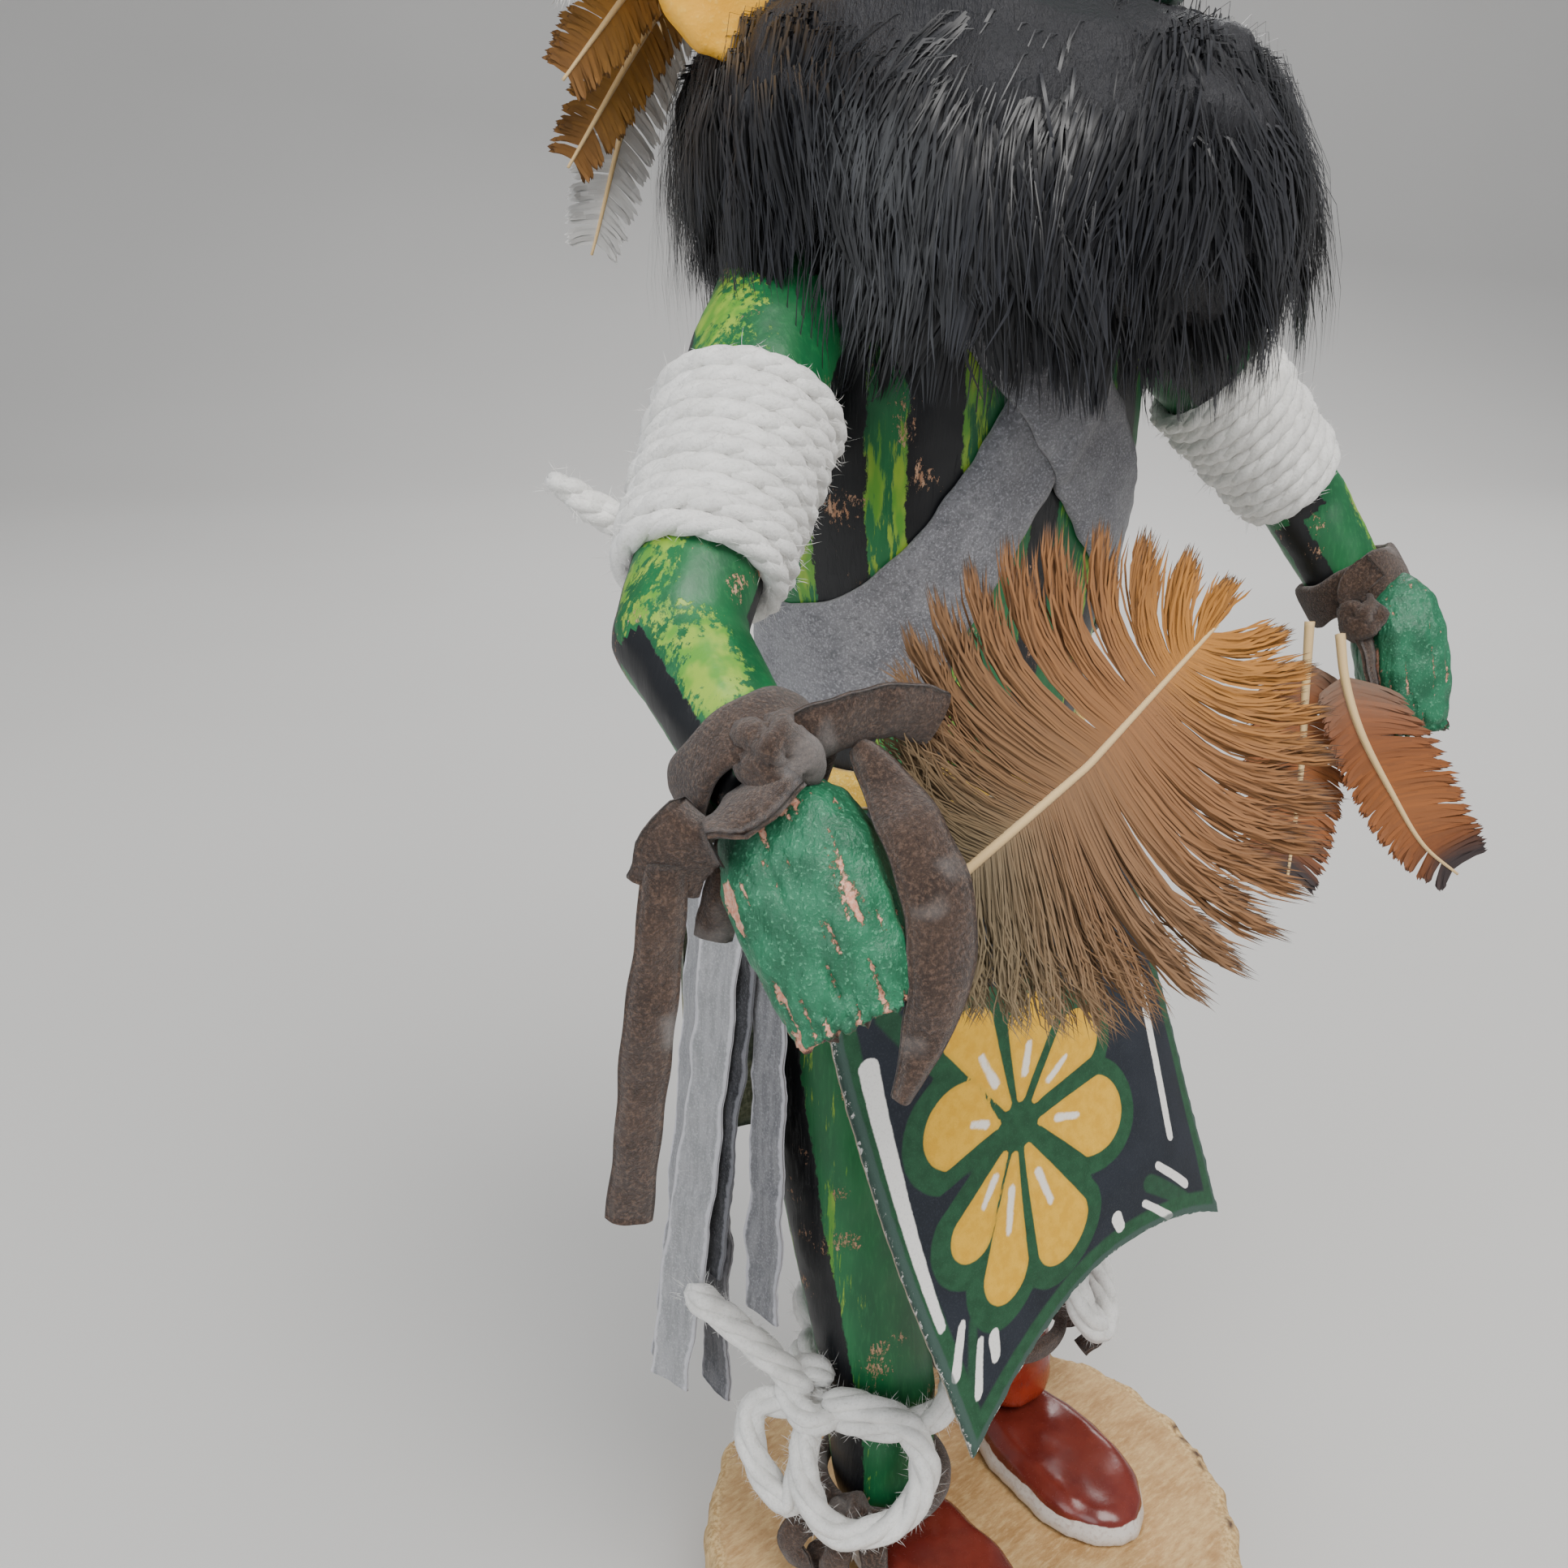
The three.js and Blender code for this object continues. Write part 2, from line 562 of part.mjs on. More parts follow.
for (const [side, tie] of Object.entries(CORD_TIES)) {
  const loops = tie.loops.map((points) => cord(points, CORD, 8));
  const tied = join([ring(tie.ring[0], tie.ring[1], CORD, tie.ring[2]), knot(tie.knot, 4.6),
    cord(tie.tail, CORD, 3), cord(tie.back, CORD, 2), ...loops]);
  tie.body = cutBy(tied, [leg(side, GAP)]);
  if (side === 'left') tie.body = cutBy(tie.body, [leg('right', GAP)]);
}

// ---------------------------------------------------------------- suede ties

const flat = (points, width, across, steps = 4) => band(points, width, LACE_THICK, () => across, steps);

/** A thin cuff round a wrist. */
function cuff(from, to, outer, inner) {
  const along = to.clone().sub(from).normalize();
  const side = v(1, 0, 0).addScaledVector(along, -along.x).normalize();
  const third = along.clone().cross(side);
  const ringAt = (centre, radius) => Array.from({ length: 10 }, (_, j) => {
    const angle = (j / 10) * 2 * Math.PI;
    return centre.clone().addScaledVector(side, Math.cos(angle) * radius)
      .addScaledVector(third, Math.sin(angle) * radius);
  });
  return loft([ringAt(from, outer), ringAt(to, outer), ringAt(to, inner), ringAt(from, inner)], true);
}

/** Suede tie round the right wrist: a knot, a bow to each side and two hanging ends. */
const wristTieRight = join([
  cuff(v(-59.7, -18.6, 170.4), v(-60.1, -23.6, 167.6), 7.8, 6.5),
  knot(v(-61.5, -26.5, 172), 4),
  flat([v(-61, -26, 172.2), v(-56, -29, 174.6), v(-51.5, -31, 175.2), v(-47.4, -32.4, 173.8)], 5.5,
    v(0.2, -0.3, 1)),
  flat([v(-62, -28, 171.5), v(-66.5, -27, 168.4), v(-70.6, -24.2, 165), v(-71.8, -23, 161)], 7,
    v(0.65, -0.5, 0.5)),
  flat([v(-71.8, -23.4, 163.6), v(-73.2, -24.2, 157), v(-74.8, -24, 147), v(-75.8, -23.4, 137),
    v(-76.7, -22.5, 127.2)], 4.6, v(0.8, -0.6, 0.1)),
  flat([v(-63, -25, 168), v(-65, -24.2, 162.6), v(-66.8, -23.6, 154.4)], 3.6, v(0.8, -0.6, 0)),
  flat([v(-55, -30, 172.6), v(-54.6, -33.4, 169.8), v(-55.2, -38, 166.2), v(-55.6, -41.4, 161.4),
    v(-56.6, -43, 155.6), v(-58.6, -43, 149), v(-60.7, -42.6, 143.9)],
    (t) => 1.8 + 4.8 * Math.sin(Math.PI * t ** 0.8), v(0.8, -0.5, 0.2), 8),
]);
const handRooms = { right: hand(HANDS.right, GAP), left: hand(HANDS.left, GAP) };
piece('wrist_tie_right', cutBy(wristTieRight, [arm('right', GAP), handRooms.right]), finish.lace,
  SOFT_TOLERANCE);

/** Suede tie round the left wrist, with one hanging end. */
const wristTieLeft = join([
  cuff(v(62.9, -6.4, 165.4), v(64, -9.8, 160.2), 7.6, 6.4),
  knot(v(57, -14, 160), 3.4),
  flat([v(57, -14, 160), v(57.6, -17, 152), v(58.2, -20.5, 142), v(57.4, -23.4, 130)], 4.6,
    v(0.8, 0.2, 0)),
  flat([v(57, -13, 161), v(55, -13, 165), v(57, -15, 168)], 4, v(0.5, -0.8, 0.2)),
]);
piece('wrist_tie_left', cutBy(wristTieLeft, [arm('left', GAP), handRooms.left]), finish.lace,
  SOFT_TOLERANCE);

/** Suede ties round the tops of the boots, with curled bows on the outside. */
const BOOT_TIES = {
  right: [
    ring(v(-12.6, 6.9, 31.4), 10, 2.6, 0, 4),
    knot(v(-22.5, 3.4, 31.6), 3.2),
    flat([v(-23, 4, 31), v(-28.6, 6.6, 32), v(-31.4, 7.4, 28), v(-29, 5.6, 24.6), v(-25, 3.6, 27)], 4.4,
      v(0.5, -0.8, 0.1)),
    flat([v(-22.5, 2.6, 31), v(-27, 0.8, 31), v(-29, 0, 26.6), v(-25.4, -0.6, 24)], 4.4, v(0.5, -0.8, 0.1)),
    flat([v(-21.6, 1.2, 31.4), v(-23.2, -2.2, 30), v(-24.4, -4.4, 25.4)], 4, v(0.7, -0.5, 0.1)),
  ],
};
const overBoot = (point) => v(-0.4, 3, 14).add(mirrored(point));
BOOT_TIES.left = [
  ring(v(18.2, 11.8, 41.6), 10.8, 2.6, 0, 4),
  knot(v(28.2, 6.6, 41.6), 3.2),
  ...[[v(28, 7, 41.4), v(32.6, 9, 42.4), v(34.4, 9, 37), v(30.4, 6.8, 35.4)],
    [v(28, 6, 41), v(31.6, 2.4, 40.6), v(32.6, 1.6, 35.6), v(29.4, 2.6, 33.6)],
    [v(28, 9, 41), v(30.6, 14, 36), v(31.6, 15.6, 27)]].map((line) => flat(line, 4.2, v(0.7, 0.6, 0.1))),
];
for (const [side, parts] of Object.entries(BOOT_TIES)) {
  const tie = join(parts);
  piece(`boot_tie_${side}`, cutBy(tie, [leg(side, GAP)]), finish.lace, SOFT_TOLERANCE);
  piece(`leg_cord_${side}`, cutBy(CORD_TIES[side].body, [tie]), finish.yarn);
}

// ---------------------------------------------------------------- feathers

/** A feather in one skin: a bare quill that opens into a thin vane with a width for each side. */
function feather({ line, left, right, facing, quill = 1.6, bare = 0.2, thick = 1.1, steps = 6 }) {
  const curve = new THREE.CatmullRomCurve3(line);
  const shares = [0, bare - 0.03, ...Array.from({ length: steps + 1 }, (_, i) => bare + ((1 - bare) * i) / steps)];
  const rings = shares.map((t) => {
    const share = (t - bare) / (1 - bare);
    const along = curve.getTangent(t);
    const side = along.clone().cross(facing).normalize();
    const front = side.clone().cross(along);
    const open = share < 0 ? 0 : Math.sin(Math.PI * Math.min(0.97, 0.12 + 0.7 * share)) ** 0.7;
    const [wide, deep] = share < 0 ? [quill / 2, quill / 4] : [0, 0.3];
    const point = (across, depth) =>
      curve.getPoint(t).addScaledVector(side, across).addScaledVector(front, depth);
    const middle = share < 0 ? quill / 2 : thick / 2;
    return [point(-left * open - wide, -deep), point(0, -middle), point(right * open + wide, -deep),
      point(right * open + wide, deep), point(0, middle), point(-left * open - wide, deep)];
  });
  return loft(rings);
}

/** The broad feather in the right hand: a quill that passes behind the hand, and a splayed vane. */
const FAN = {
  quill: [v(-60.6, -20.6, 146.4), v(-53, -27, 151.6), v(-46.2, -35.4, 158.4), v(-34.4, -40.6, 170.2)],
  base: v(-47.7, -36, 159.3),
  along: v(0.734, -0.241, 0.635).normalize(),
  towards: v(-0.6, -0.67, 0.44).normalize(),
  thick: 1,
  // The vane's edge: distance along the quill from its base, and across it.
  edge: [[-1, 1.5], [-8, -9], [-9, -16], [-3, -19], [3, -18.5], [9, -24.5], [14, -25], [18, -21], [28, -20],
    [34, -15.5], [38.7, -8], [38.5, 2], [37.5, 9], [34.5, 15.4], [28, 19.8], [17, 21], [9, 13]],
};
const vanePlace = frameAt(FAN.base, FAN.along, FAN.towards.clone().cross(FAN.along), FAN.towards);
const vane = extruded(FAN.edge.map(([a, b]) => new THREE.Vector2(a, b)), FAN.thick,
  vanePlace.multiply(new THREE.Matrix4().makeTranslation(0, 0, -FAN.thick / 2)));
piece('feather_right', cutBy(vane.add(cord(FAN.quill, 1.7, 5)), [handRooms.right, wristTieRight]), finish.feather);

/** Smaller feathers tied at the left hand. */
const HELD = {
  feather_left_front: {
    line: [v(52.4, -13.6, 158.6), v(50.6, -16.4, 152.8), v(49.1, -20.5, 146.9), v(50, -26, 139),
      v(51.1, -31.2, 132.5), v(54.7, -35, 128.3)],
    left: 9,
    right: 5,
    facing: v(-0.7, -0.6, 0.3),
  },
  feather_left_back: {
    line: [v(50.4, -9.8, 160), v(48.6, -11.6, 151), v(45.2, -14.6, 140), v(38.6, -18.6, 126)],
    left: 7,
    right: 8,
    facing: v(-0.6, -0.75, 0.2),
  },
};
for (const [name, shape] of Object.entries(HELD)) {
  piece(name, cutBy(feather(shape), [wristTieLeft, handRooms.left, arm('left', GAP)]), finish.feather);
}

/** Feathers behind each side of the head: a white plume, two brown feathers and a cream one. */
const HEAD_FEATHERS = [
  { name: 'plume', line: [v(-21, 27, 262), v(-34, 28.5, 252), v(-47, 29, 241)], left: 9, right: 9, down: true },
  { name: 'brown_feather_upper', line: [v(-18, 34.5, 254), v(-30, 34, 241), v(-42, 33.5, 229)], left: 5, right: 5 },
  { name: 'brown_feather_lower', line: [v(-14, 38.5, 250), v(-27, 38.2, 235), v(-39, 38, 220)], left: 5, right: 5 },
  { name: 'cream_feather', line: [v(-12, 42, 248), v(-25, 43, 230), v(-33, 43, 210)], left: 6, right: 6, pale: true },
];
const featherRooms = [];
for (const side of ['right', 'left']) {
  for (const { name, line, left, right, down, pale } of HEAD_FEATHERS) {
    const points = side === 'right' ? line : line.map(mirrored);
    const shape = { line: points, left, right, facing: v(0, -1, 0), bare: 0.1, steps: 4 };
    const body = feather(shape);
    featherRooms.push(band(points, left + right + 3, 2.4, () => v(0.7, 0, side === 'right' ? -0.7 : 0.7), 1));
    piece(`${name}_${side}`, body, down || pale ? finish.plume : finish.feather);
  }
}

// ---------------------------------------------------------------- fur collar

/** Fur ruff round the neck: a thick drooping ring, lower on the figure's left. */
const FUR = {
  centre: v(MID_X, 12.5, 216),
  // Distance from the middle and height of the ring's outline.
  profile: [[11, 207], [24, 200.5], [34, 202], [39, 211], [39.4, 224], [34, 235], [26, 239], [24.5, 233],
    [11, 231]],
  droop: 0.12,
};
const furTurns = 16;
const fur = loft(Array.from({ length: furTurns }, (_, i) => {
  const angle = (i / furTurns) * 2 * Math.PI;
  const lock = 1 + 0.025 * Math.cos(8 * angle) + 0.015 * Math.cos(5 * angle + 1) + 0.03 * Math.cos(angle + 0.7);
  return FUR.profile.map(([r, z]) => {
    const reach = r > 20 ? r * lock : r;
    const x = MID_X + reach * Math.cos(angle);
    return v(x, FUR.centre.y + reach * Math.sin(angle), z - FUR.droop * (x - MID_X));
  }).reverse();
}), true);
const FUR_GAP = 1.1; // wide enough for cutters with fewer sides than what they clear
const furRooms = [torsoAround(overLower + STRAP_THICK + FUR_GAP, 12), arm('right', FUR_GAP, 8),
  arm('left', FUR_GAP, 8), ear(-1, FUR_GAP, 8), ear(1, FUR_GAP, 8), ...featherRooms,
  wrapRoom('right'), wrapRoom('left')];
piece('fur_collar', cutBy(fur, furRooms), finish.fur);

export default doll;
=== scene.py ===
# A carved and dressed kachina doll: paint, suede, yarn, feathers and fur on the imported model.
# Lengths and points in this script are millimetres, and meshes are made in metres.
import math

import bpy
import numpy as np
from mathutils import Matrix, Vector
from mathutils.bvhtree import BVHTree


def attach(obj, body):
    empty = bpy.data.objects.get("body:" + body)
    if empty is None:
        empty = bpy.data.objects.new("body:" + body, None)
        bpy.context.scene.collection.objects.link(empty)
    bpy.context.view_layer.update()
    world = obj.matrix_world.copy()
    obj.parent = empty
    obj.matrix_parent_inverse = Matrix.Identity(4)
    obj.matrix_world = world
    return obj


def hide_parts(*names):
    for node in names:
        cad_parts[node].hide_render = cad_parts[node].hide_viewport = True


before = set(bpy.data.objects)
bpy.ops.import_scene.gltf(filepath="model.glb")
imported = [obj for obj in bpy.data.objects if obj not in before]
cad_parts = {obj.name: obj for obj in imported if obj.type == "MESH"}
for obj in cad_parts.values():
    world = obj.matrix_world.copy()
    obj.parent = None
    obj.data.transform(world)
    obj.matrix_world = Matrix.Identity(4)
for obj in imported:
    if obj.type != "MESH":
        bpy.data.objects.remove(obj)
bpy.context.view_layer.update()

MM = 0.001
UP = np.array([0.0, 0.0, 1.0])

# ---------------------------------------------------------------- the doll's own sizes

MID_X = 3.0
TORSO_Y = 17.0
NECK = np.array([3.0, 12.5, 0.0])
CORD = 4.6

ARMS = {
    "right": [(-20, 17, 208), (-33, 9.8, 200), (-57.5, -6.5, 177.5), (-60, -23.5, 167.5)],
    "left": [(26, 17, 208), (38, 9.5, 200), (60.6, -0.4, 174), (64, -9.5, 160)],
}
LEGS = {
    "right": [(-13.6, 22.8, 118), (-12.3, 17.4, 80), (-10.8, 10.2, 45), (-13, 6.2, 24.6)],
    "left": [(19.6, 22.8, 118), (18.4, 18.4, 80), (18.2, 12.6, 45), (18.4, 9, 24.6)],
}

# ---------------------------------------------------------------- points, curves and fields


def unit(v):
    return v / np.maximum(np.linalg.norm(v, axis=-1, keepdims=True), 1e-12)


def smooth_line(points, count):
    """Points spaced evenly along a centripetal Catmull-Rom curve through the given ones."""
    p = np.array(points, float)
    p = np.vstack([2 * p[0] - p[1], p, 2 * p[-1] - p[-2]])
    fine = []
    for i in range(1, len(p) - 2):
        a, b, c, d = p[i - 1 : i + 3]
        t0, t1, t2 = (math.sqrt(max(np.linalg.norm(q), 1e-4)) for q in (b - a, c - b, d - c))
        m1 = t1 * ((b - a) / t0 - (c - a) / (t0 + t1) + (c - b) / t1)
        m2 = t1 * ((c - b) / t1 - (d - b) / (t1 + t2) + (d - c) / t2)
        t = np.linspace(0, 1, 40, endpoint=False)[:, None]
        fine.append(
            (2 * t**3 - 3 * t**2 + 1) * b + (t**3 - 2 * t**2 + t) * m1
            + (3 * t**2 - 2 * t**3) * c + (t**3 - t**2) * m2
        )
    return evenly(np.vstack(fine + [p[-2:-1]]), count)


def evenly(line, count):
    """A polyline with count points at equal steps along the given one."""
    run = np.concatenate([[0], np.cumsum(np.linalg.norm(np.diff(line, axis=0), axis=1))])
    at = np.linspace(0, run[-1], count)
    return np.stack([np.interp(at, run, line[:, k]) for k in range(3)], axis=1)


def length_of(line):
    return float(np.linalg.norm(np.diff(line, axis=0), axis=1).sum())


def tangents(line):
    return unit(np.gradient(line, axis=0))


def frames(line, start):
    """Tangent, side and front vectors along a line, which turn as little as they can."""
    along = tangents(line)
    side = [unit(np.cross(along[0], start))]
    for t in along[1:]:
        side.append(unit(side[-1] - t * side[-1].dot(t)))
    side = np.array(side)
    return along, side, np.cross(side, along)


def field(points, size, seed, waves=14):
    """A smooth random field, mostly from -1 to 1, with features of about the given size."""
    rng = np.random.default_rng(seed)
    k = unit(rng.normal(size=(waves, 3))) * 2 * np.pi / size * rng.uniform(0.55, 1.5, (waves, 1))
    return np.sin(points @ k.T + rng.uniform(0, 6.28, waves)).sum(1) / math.sqrt(waves)


def ramp(value, low, high):
    t = np.clip((value - low) / (high - low), 0, 1)
    return t * t * (3 - 2 * t)


# ---------------------------------------------------------------- meshes


class Soup:
    """Collects vertices, faces and per-vertex values for one mesh."""

    def __init__(self):
        self.points, self.faces, self.values, self.count = [], [], {}, 0

    def add(self, points, faces, **values):
        self.points.append(np.asarray(points, float))
        self.faces.append(np.asarray(faces, int) + self.count)
        for key, value in values.items():
            value = np.broadcast_to(np.asarray(value, float), (len(points),))
            self.values.setdefault(key, []).append(value)
        self.count += len(points)


def grid_faces(rows, columns, wrap=False, loop=False):
    """Quads between rows of points; wrap joins the last column to the first, loop the last row."""
    i = np.arange(rows if loop else rows - 1)[:, None]
    j = np.arange(columns if wrap else columns - 1)[None, :]
    a = i * columns + j
    b = i * columns + (j + 1) % columns
    up = ((i + 1) % rows) * columns
    quads = np.stack([a, b, up + (j + 1) % columns, up + j], axis=-1)
    return quads.reshape(-1, 4)


def rings_into(soup, rings, loop=False, **values):
    """Adds a closed skin through rings of points, with a cap at each end unless it is a loop."""
    rows, columns = rings.shape[:2]
    points = rings.reshape(-1, 3)
    faces = grid_faces(rows, columns, wrap=True, loop=loop)
    values = {k: np.repeat(v, columns) if np.size(v) == rows else v for k, v in values.items()}
    if not loop:
        hubs = rings[[0, -1]].mean(axis=1)
        j = np.arange(columns)
        k = (j + 1) % columns
        low, high = len(points), len(points) + 1
        points = np.vstack([points, hubs])
        last = (rows - 1) * columns
        ends = np.vstack([
            np.stack([np.full(columns, low), k, j, j], axis=-1),
            np.stack([np.full(columns, high), last + j, last + k, last + k], axis=-1),
        ])
        faces = np.vstack([faces, ends])
        values = {
            key: v if np.size(v) == 1 else np.concatenate([v, v[[0, -1]]])
            for key, v in values.items()
        }
    soup.add(points, faces, **values)


def tube_into(soup, line, radius, sides=8, start=UP, **values):
    """A round tube along a line; radius is one number or one for each point."""
    along, side, front = frames(line, start)
    angle = np.arange(sides) / sides * 2 * np.pi
    radius = np.broadcast_to(radius, (len(line),))[:, None, None]
    round_ = np.cos(angle)[:, None] * side[:, None] + np.sin(angle)[:, None] * front[:, None]
    rings_into(soup, line[:, None] + radius * round_, **values)


def ribbons_into(soup, lines, across, width, **values):
    """Thin flat strands: lines is (strands, points, 3), across the direction of their width.
    Each strand tapers to a point."""
    strands, steps = lines.shape[:2]
    taper = np.broadcast_to(width, (strands, steps))[..., None] / 2
    left = lines - across * taper
    right = lines + across * taper
    body = np.stack([left[:, :-1], right[:, :-1]], axis=2).reshape(strands, -1, 3)
    points = np.concatenate([body, lines[:, -1:]], axis=1)
    each = points.shape[1]
    i = np.arange(steps - 2)[:, None] * 2
    quads = i + np.array([0, 1, 3, 2])
    tip = np.array([[each - 3, each - 2, each - 1, each - 1]])
    one = np.vstack([quads, tip])
    faces = (np.arange(strands)[:, None, None] * each + one).reshape(-1, 4)
    spread = {}
    for key, value in values.items():
        value = np.asarray(value, float)
        if value.ndim == 2:
            value = np.concatenate([np.repeat(value[:, :-1], 2, axis=1), value[:, -1:]], axis=1)
        elif value.ndim == 1:
            value = np.repeat(value[:, None], each, axis=1)
        spread[key] = value.reshape(-1)
    soup.add(points.reshape(-1, 3), faces, **spread)


def link(obj):
    bpy.context.scene.collection.objects.link(obj)
    return obj


def mesh_from(name, soup):
    """A mesh object from a soup. A quad whose last two corners are one point is a triangle."""
    points = np.vstack(soup.points)
    faces = np.vstack(soup.faces)
    triangle = faces[:, 2] == faces[:, 3]
    sizes = np.where(triangle, 3, 4)
    keep = np.ones(faces.shape, bool)
    keep[triangle, 3] = False
    corners = faces[keep]
    mesh = bpy.data.meshes.new(name)
    mesh.vertices.add(len(points))
    mesh.vertices.foreach_set("co", (points * MM).ravel())
    mesh.loops.add(len(corners))
    mesh.loops.foreach_set("vertex_index", corners)
    mesh.polygons.add(len(faces))
    mesh.polygons.foreach_set("loop_start", np.concatenate([[0], np.cumsum(sizes)[:-1]]))
    mesh.update(calc_edges=True)
    mesh.validate()
    for key, parts in soup.values.items():
        set_value(mesh, key, np.concatenate(parts))
    return link(bpy.data.objects.new(name, mesh))


def set_value(mesh, key, values):
    mesh.attributes.new(key, "FLOAT", "POINT").data.foreach_set("value", values.astype(np.float32))


def points_of(obj):
    co = np.zeros(len(obj.data.vertices) * 3)
    obj.data.vertices.foreach_get("co", co)
    return co.reshape(-1, 3) / MM


def move_points(obj, points):
    obj.data.vertices.foreach_set("co", (points * MM).ravel())
    obj.data.update()


def normals_of(obj):
    n = np.zeros(len(obj.data.vertices) * 3)
    obj.data.vertices.foreach_get("normal", n)
    return n.reshape(-1, 3)


def carved(name, node, voxel, rounds):
    """A finer copy of a CAD node: remeshed at the voxel size and smoothed, so its facets go."""
    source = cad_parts[node]
    obj = link(bpy.data.objects.new(name, source.data.copy()))
    remesh = obj.modifiers.new("remesh", "REMESH")
    remesh.mode = "VOXEL"
    remesh.voxel_size = voxel * MM
    soften = obj.modifiers.new("soften", "SMOOTH")
    soften.factor = 0.5
    soften.iterations = rounds
    evaluated = obj.evaluated_get(bpy.context.evaluated_depsgraph_get())
    mesh = bpy.data.meshes.new_from_object(evaluated)
    obj.modifiers.clear()
    obj.data = mesh
    mesh.name = name
    return obj


def finish_piece(obj, paint, slot, *nodes):
    """Gives a piece its material, smooth shading and body; the slot is not used."""
    obj.data.materials.clear()
    obj.data.materials.append(paint)
    obj.data.polygons.foreach_set("use_smooth", np.ones(len(obj.data.polygons), bool))
    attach(obj, "root")
    if nodes:
        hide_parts(*nodes)
    return obj


# ---------------------------------------------------------------- node materials


class Wire:
    """A socket of a node tree that can be added, multiplied and so on."""

    def __init__(self, tree, socket):
        self.tree, self.socket = tree, socket

    def math(self, operation, *others):
        node = self.tree.nodes.new("ShaderNodeMath")
        node.operation = operation
        for i, item in enumerate((self, *others)):
            plug(self.tree, item, node.inputs[i])
        return Wire(self.tree, node.outputs[0])

    def __add__(self, other):
        return self.math("ADD", other)

    def __sub__(self, other):
        return self.math("SUBTRACT", other)

    def __mul__(self, other):
        return self.math("MULTIPLY", other)

    def __neg__(self):
        return self.math("MULTIPLY", -1.0)

    def above(self, edge, soft=0.02):
        """0 below the edge and 1 above it, with a soft step between."""
        node = self.tree.nodes.new("ShaderNodeMapRange")
        node.interpolation_type = "SMOOTHSTEP"
        plug(self.tree, self, node.inputs["Value"])
        node.inputs["From Min"].default_value = edge - soft
        node.inputs["From Max"].default_value = edge + soft
        return Wire(self.tree, node.outputs[0])

    def below(self, edge, soft=0.02):
        return self.above(edge, soft).math("MULTIPLY_ADD", -1.0, 1.0)

    def either(self, other):
        return self.math("MAXIMUM", other)

    def both(self, other):
        return self.math("MULTIPLY", other)


def plug(tree, item, socket):
    if isinstance(item, Wire):
        tree.links.new(item.socket, socket)
    elif hasattr(item, "__len__") and len(item) == 3 and socket.type == "RGBA":
        socket.default_value = (*item, 1)
    else:
        socket.default_value = item


class Finish:
    """Builds one node material around a Principled BSDF."""

    def __init__(self, name):
        self.material = bpy.data.materials.new(name)
        self.material.use_nodes = True
        self.tree = self.material.node_tree
        self.shader = self.tree.nodes["Principled BSDF"]
        place = self.tree.nodes.new("ShaderNodeTexCoord")
        scale = self.tree.nodes.new("ShaderNodeVectorMath")
        scale.operation = "SCALE"
        scale.inputs["Scale"].default_value = 1 / MM
        self.tree.links.new(place.outputs["Object"], scale.inputs[0])
        self.place = scale.outputs[0]

    def axis(self, index):
        node = self.tree.nodes.new("ShaderNodeSeparateXYZ")
        self.tree.links.new(self.place, node.inputs[0])
        return Wire(self.tree, node.outputs[index])

    def value(self, name):
        node = self.tree.nodes.new("ShaderNodeAttribute")
        node.attribute_name = name
        return Wire(self.tree, node.outputs["Fac"])

    def stretched(self, stretch):
        node = self.tree.nodes.new("ShaderNodeMapping")
        node.inputs["Scale"].default_value = stretch
        self.tree.links.new(self.place, node.inputs["Vector"])
        return node.outputs[0]

    def noise(self, size, detail=3.0, stretch=(1, 1, 1), rough=0.55, twist=0.0):
        """Noise from 0 to 1 with features of about size millimetres."""
        node = self.tree.nodes.new("ShaderNodeTexNoise")
        node.inputs["Scale"].default_value = 1 / size
        node.inputs["Detail"].default_value = detail
        node.inputs["Roughness"].default_value = rough
        node.inputs["Distortion"].default_value = twist
        self.tree.links.new(self.stretched(stretch), node.inputs["Vector"])
        return Wire(self.tree, node.outputs["Fac"])

    def mix(self, share, first, second):
        node = self.tree.nodes.new("ShaderNodeMix")
        node.data_type = "RGBA"
        plug(self.tree, share, node.inputs[0])
        plug(self.tree, first, node.inputs[6])
        plug(self.tree, second, node.inputs[7])
        return Wire(self.tree, node.outputs[2])

    def bump(self, height, depth, strength=1.0):
        """Bump of a height from 0 to 1, depth millimetres deep."""
        node = self.tree.nodes.new("ShaderNodeBump")
        node.inputs["Strength"].default_value = strength
        node.inputs["Distance"].default_value = depth * MM
        plug(self.tree, height, node.inputs["Height"])
        self.tree.links.new(node.outputs[0], self.shader.inputs["Normal"])

    def done(self, color, roughness=0.5, **sockets):
        plug(self.tree, color, self.shader.inputs["Base Color"])
        plug(self.tree, roughness, self.shader.inputs["Roughness"])
        by_name = {s.name.lower().replace(" ", "_"): s for s in self.shader.inputs}
        for name, value in sockets.items():
            plug(self.tree, value, by_name[name])
        return self.material

# ---------------------------------------------------------------- paint


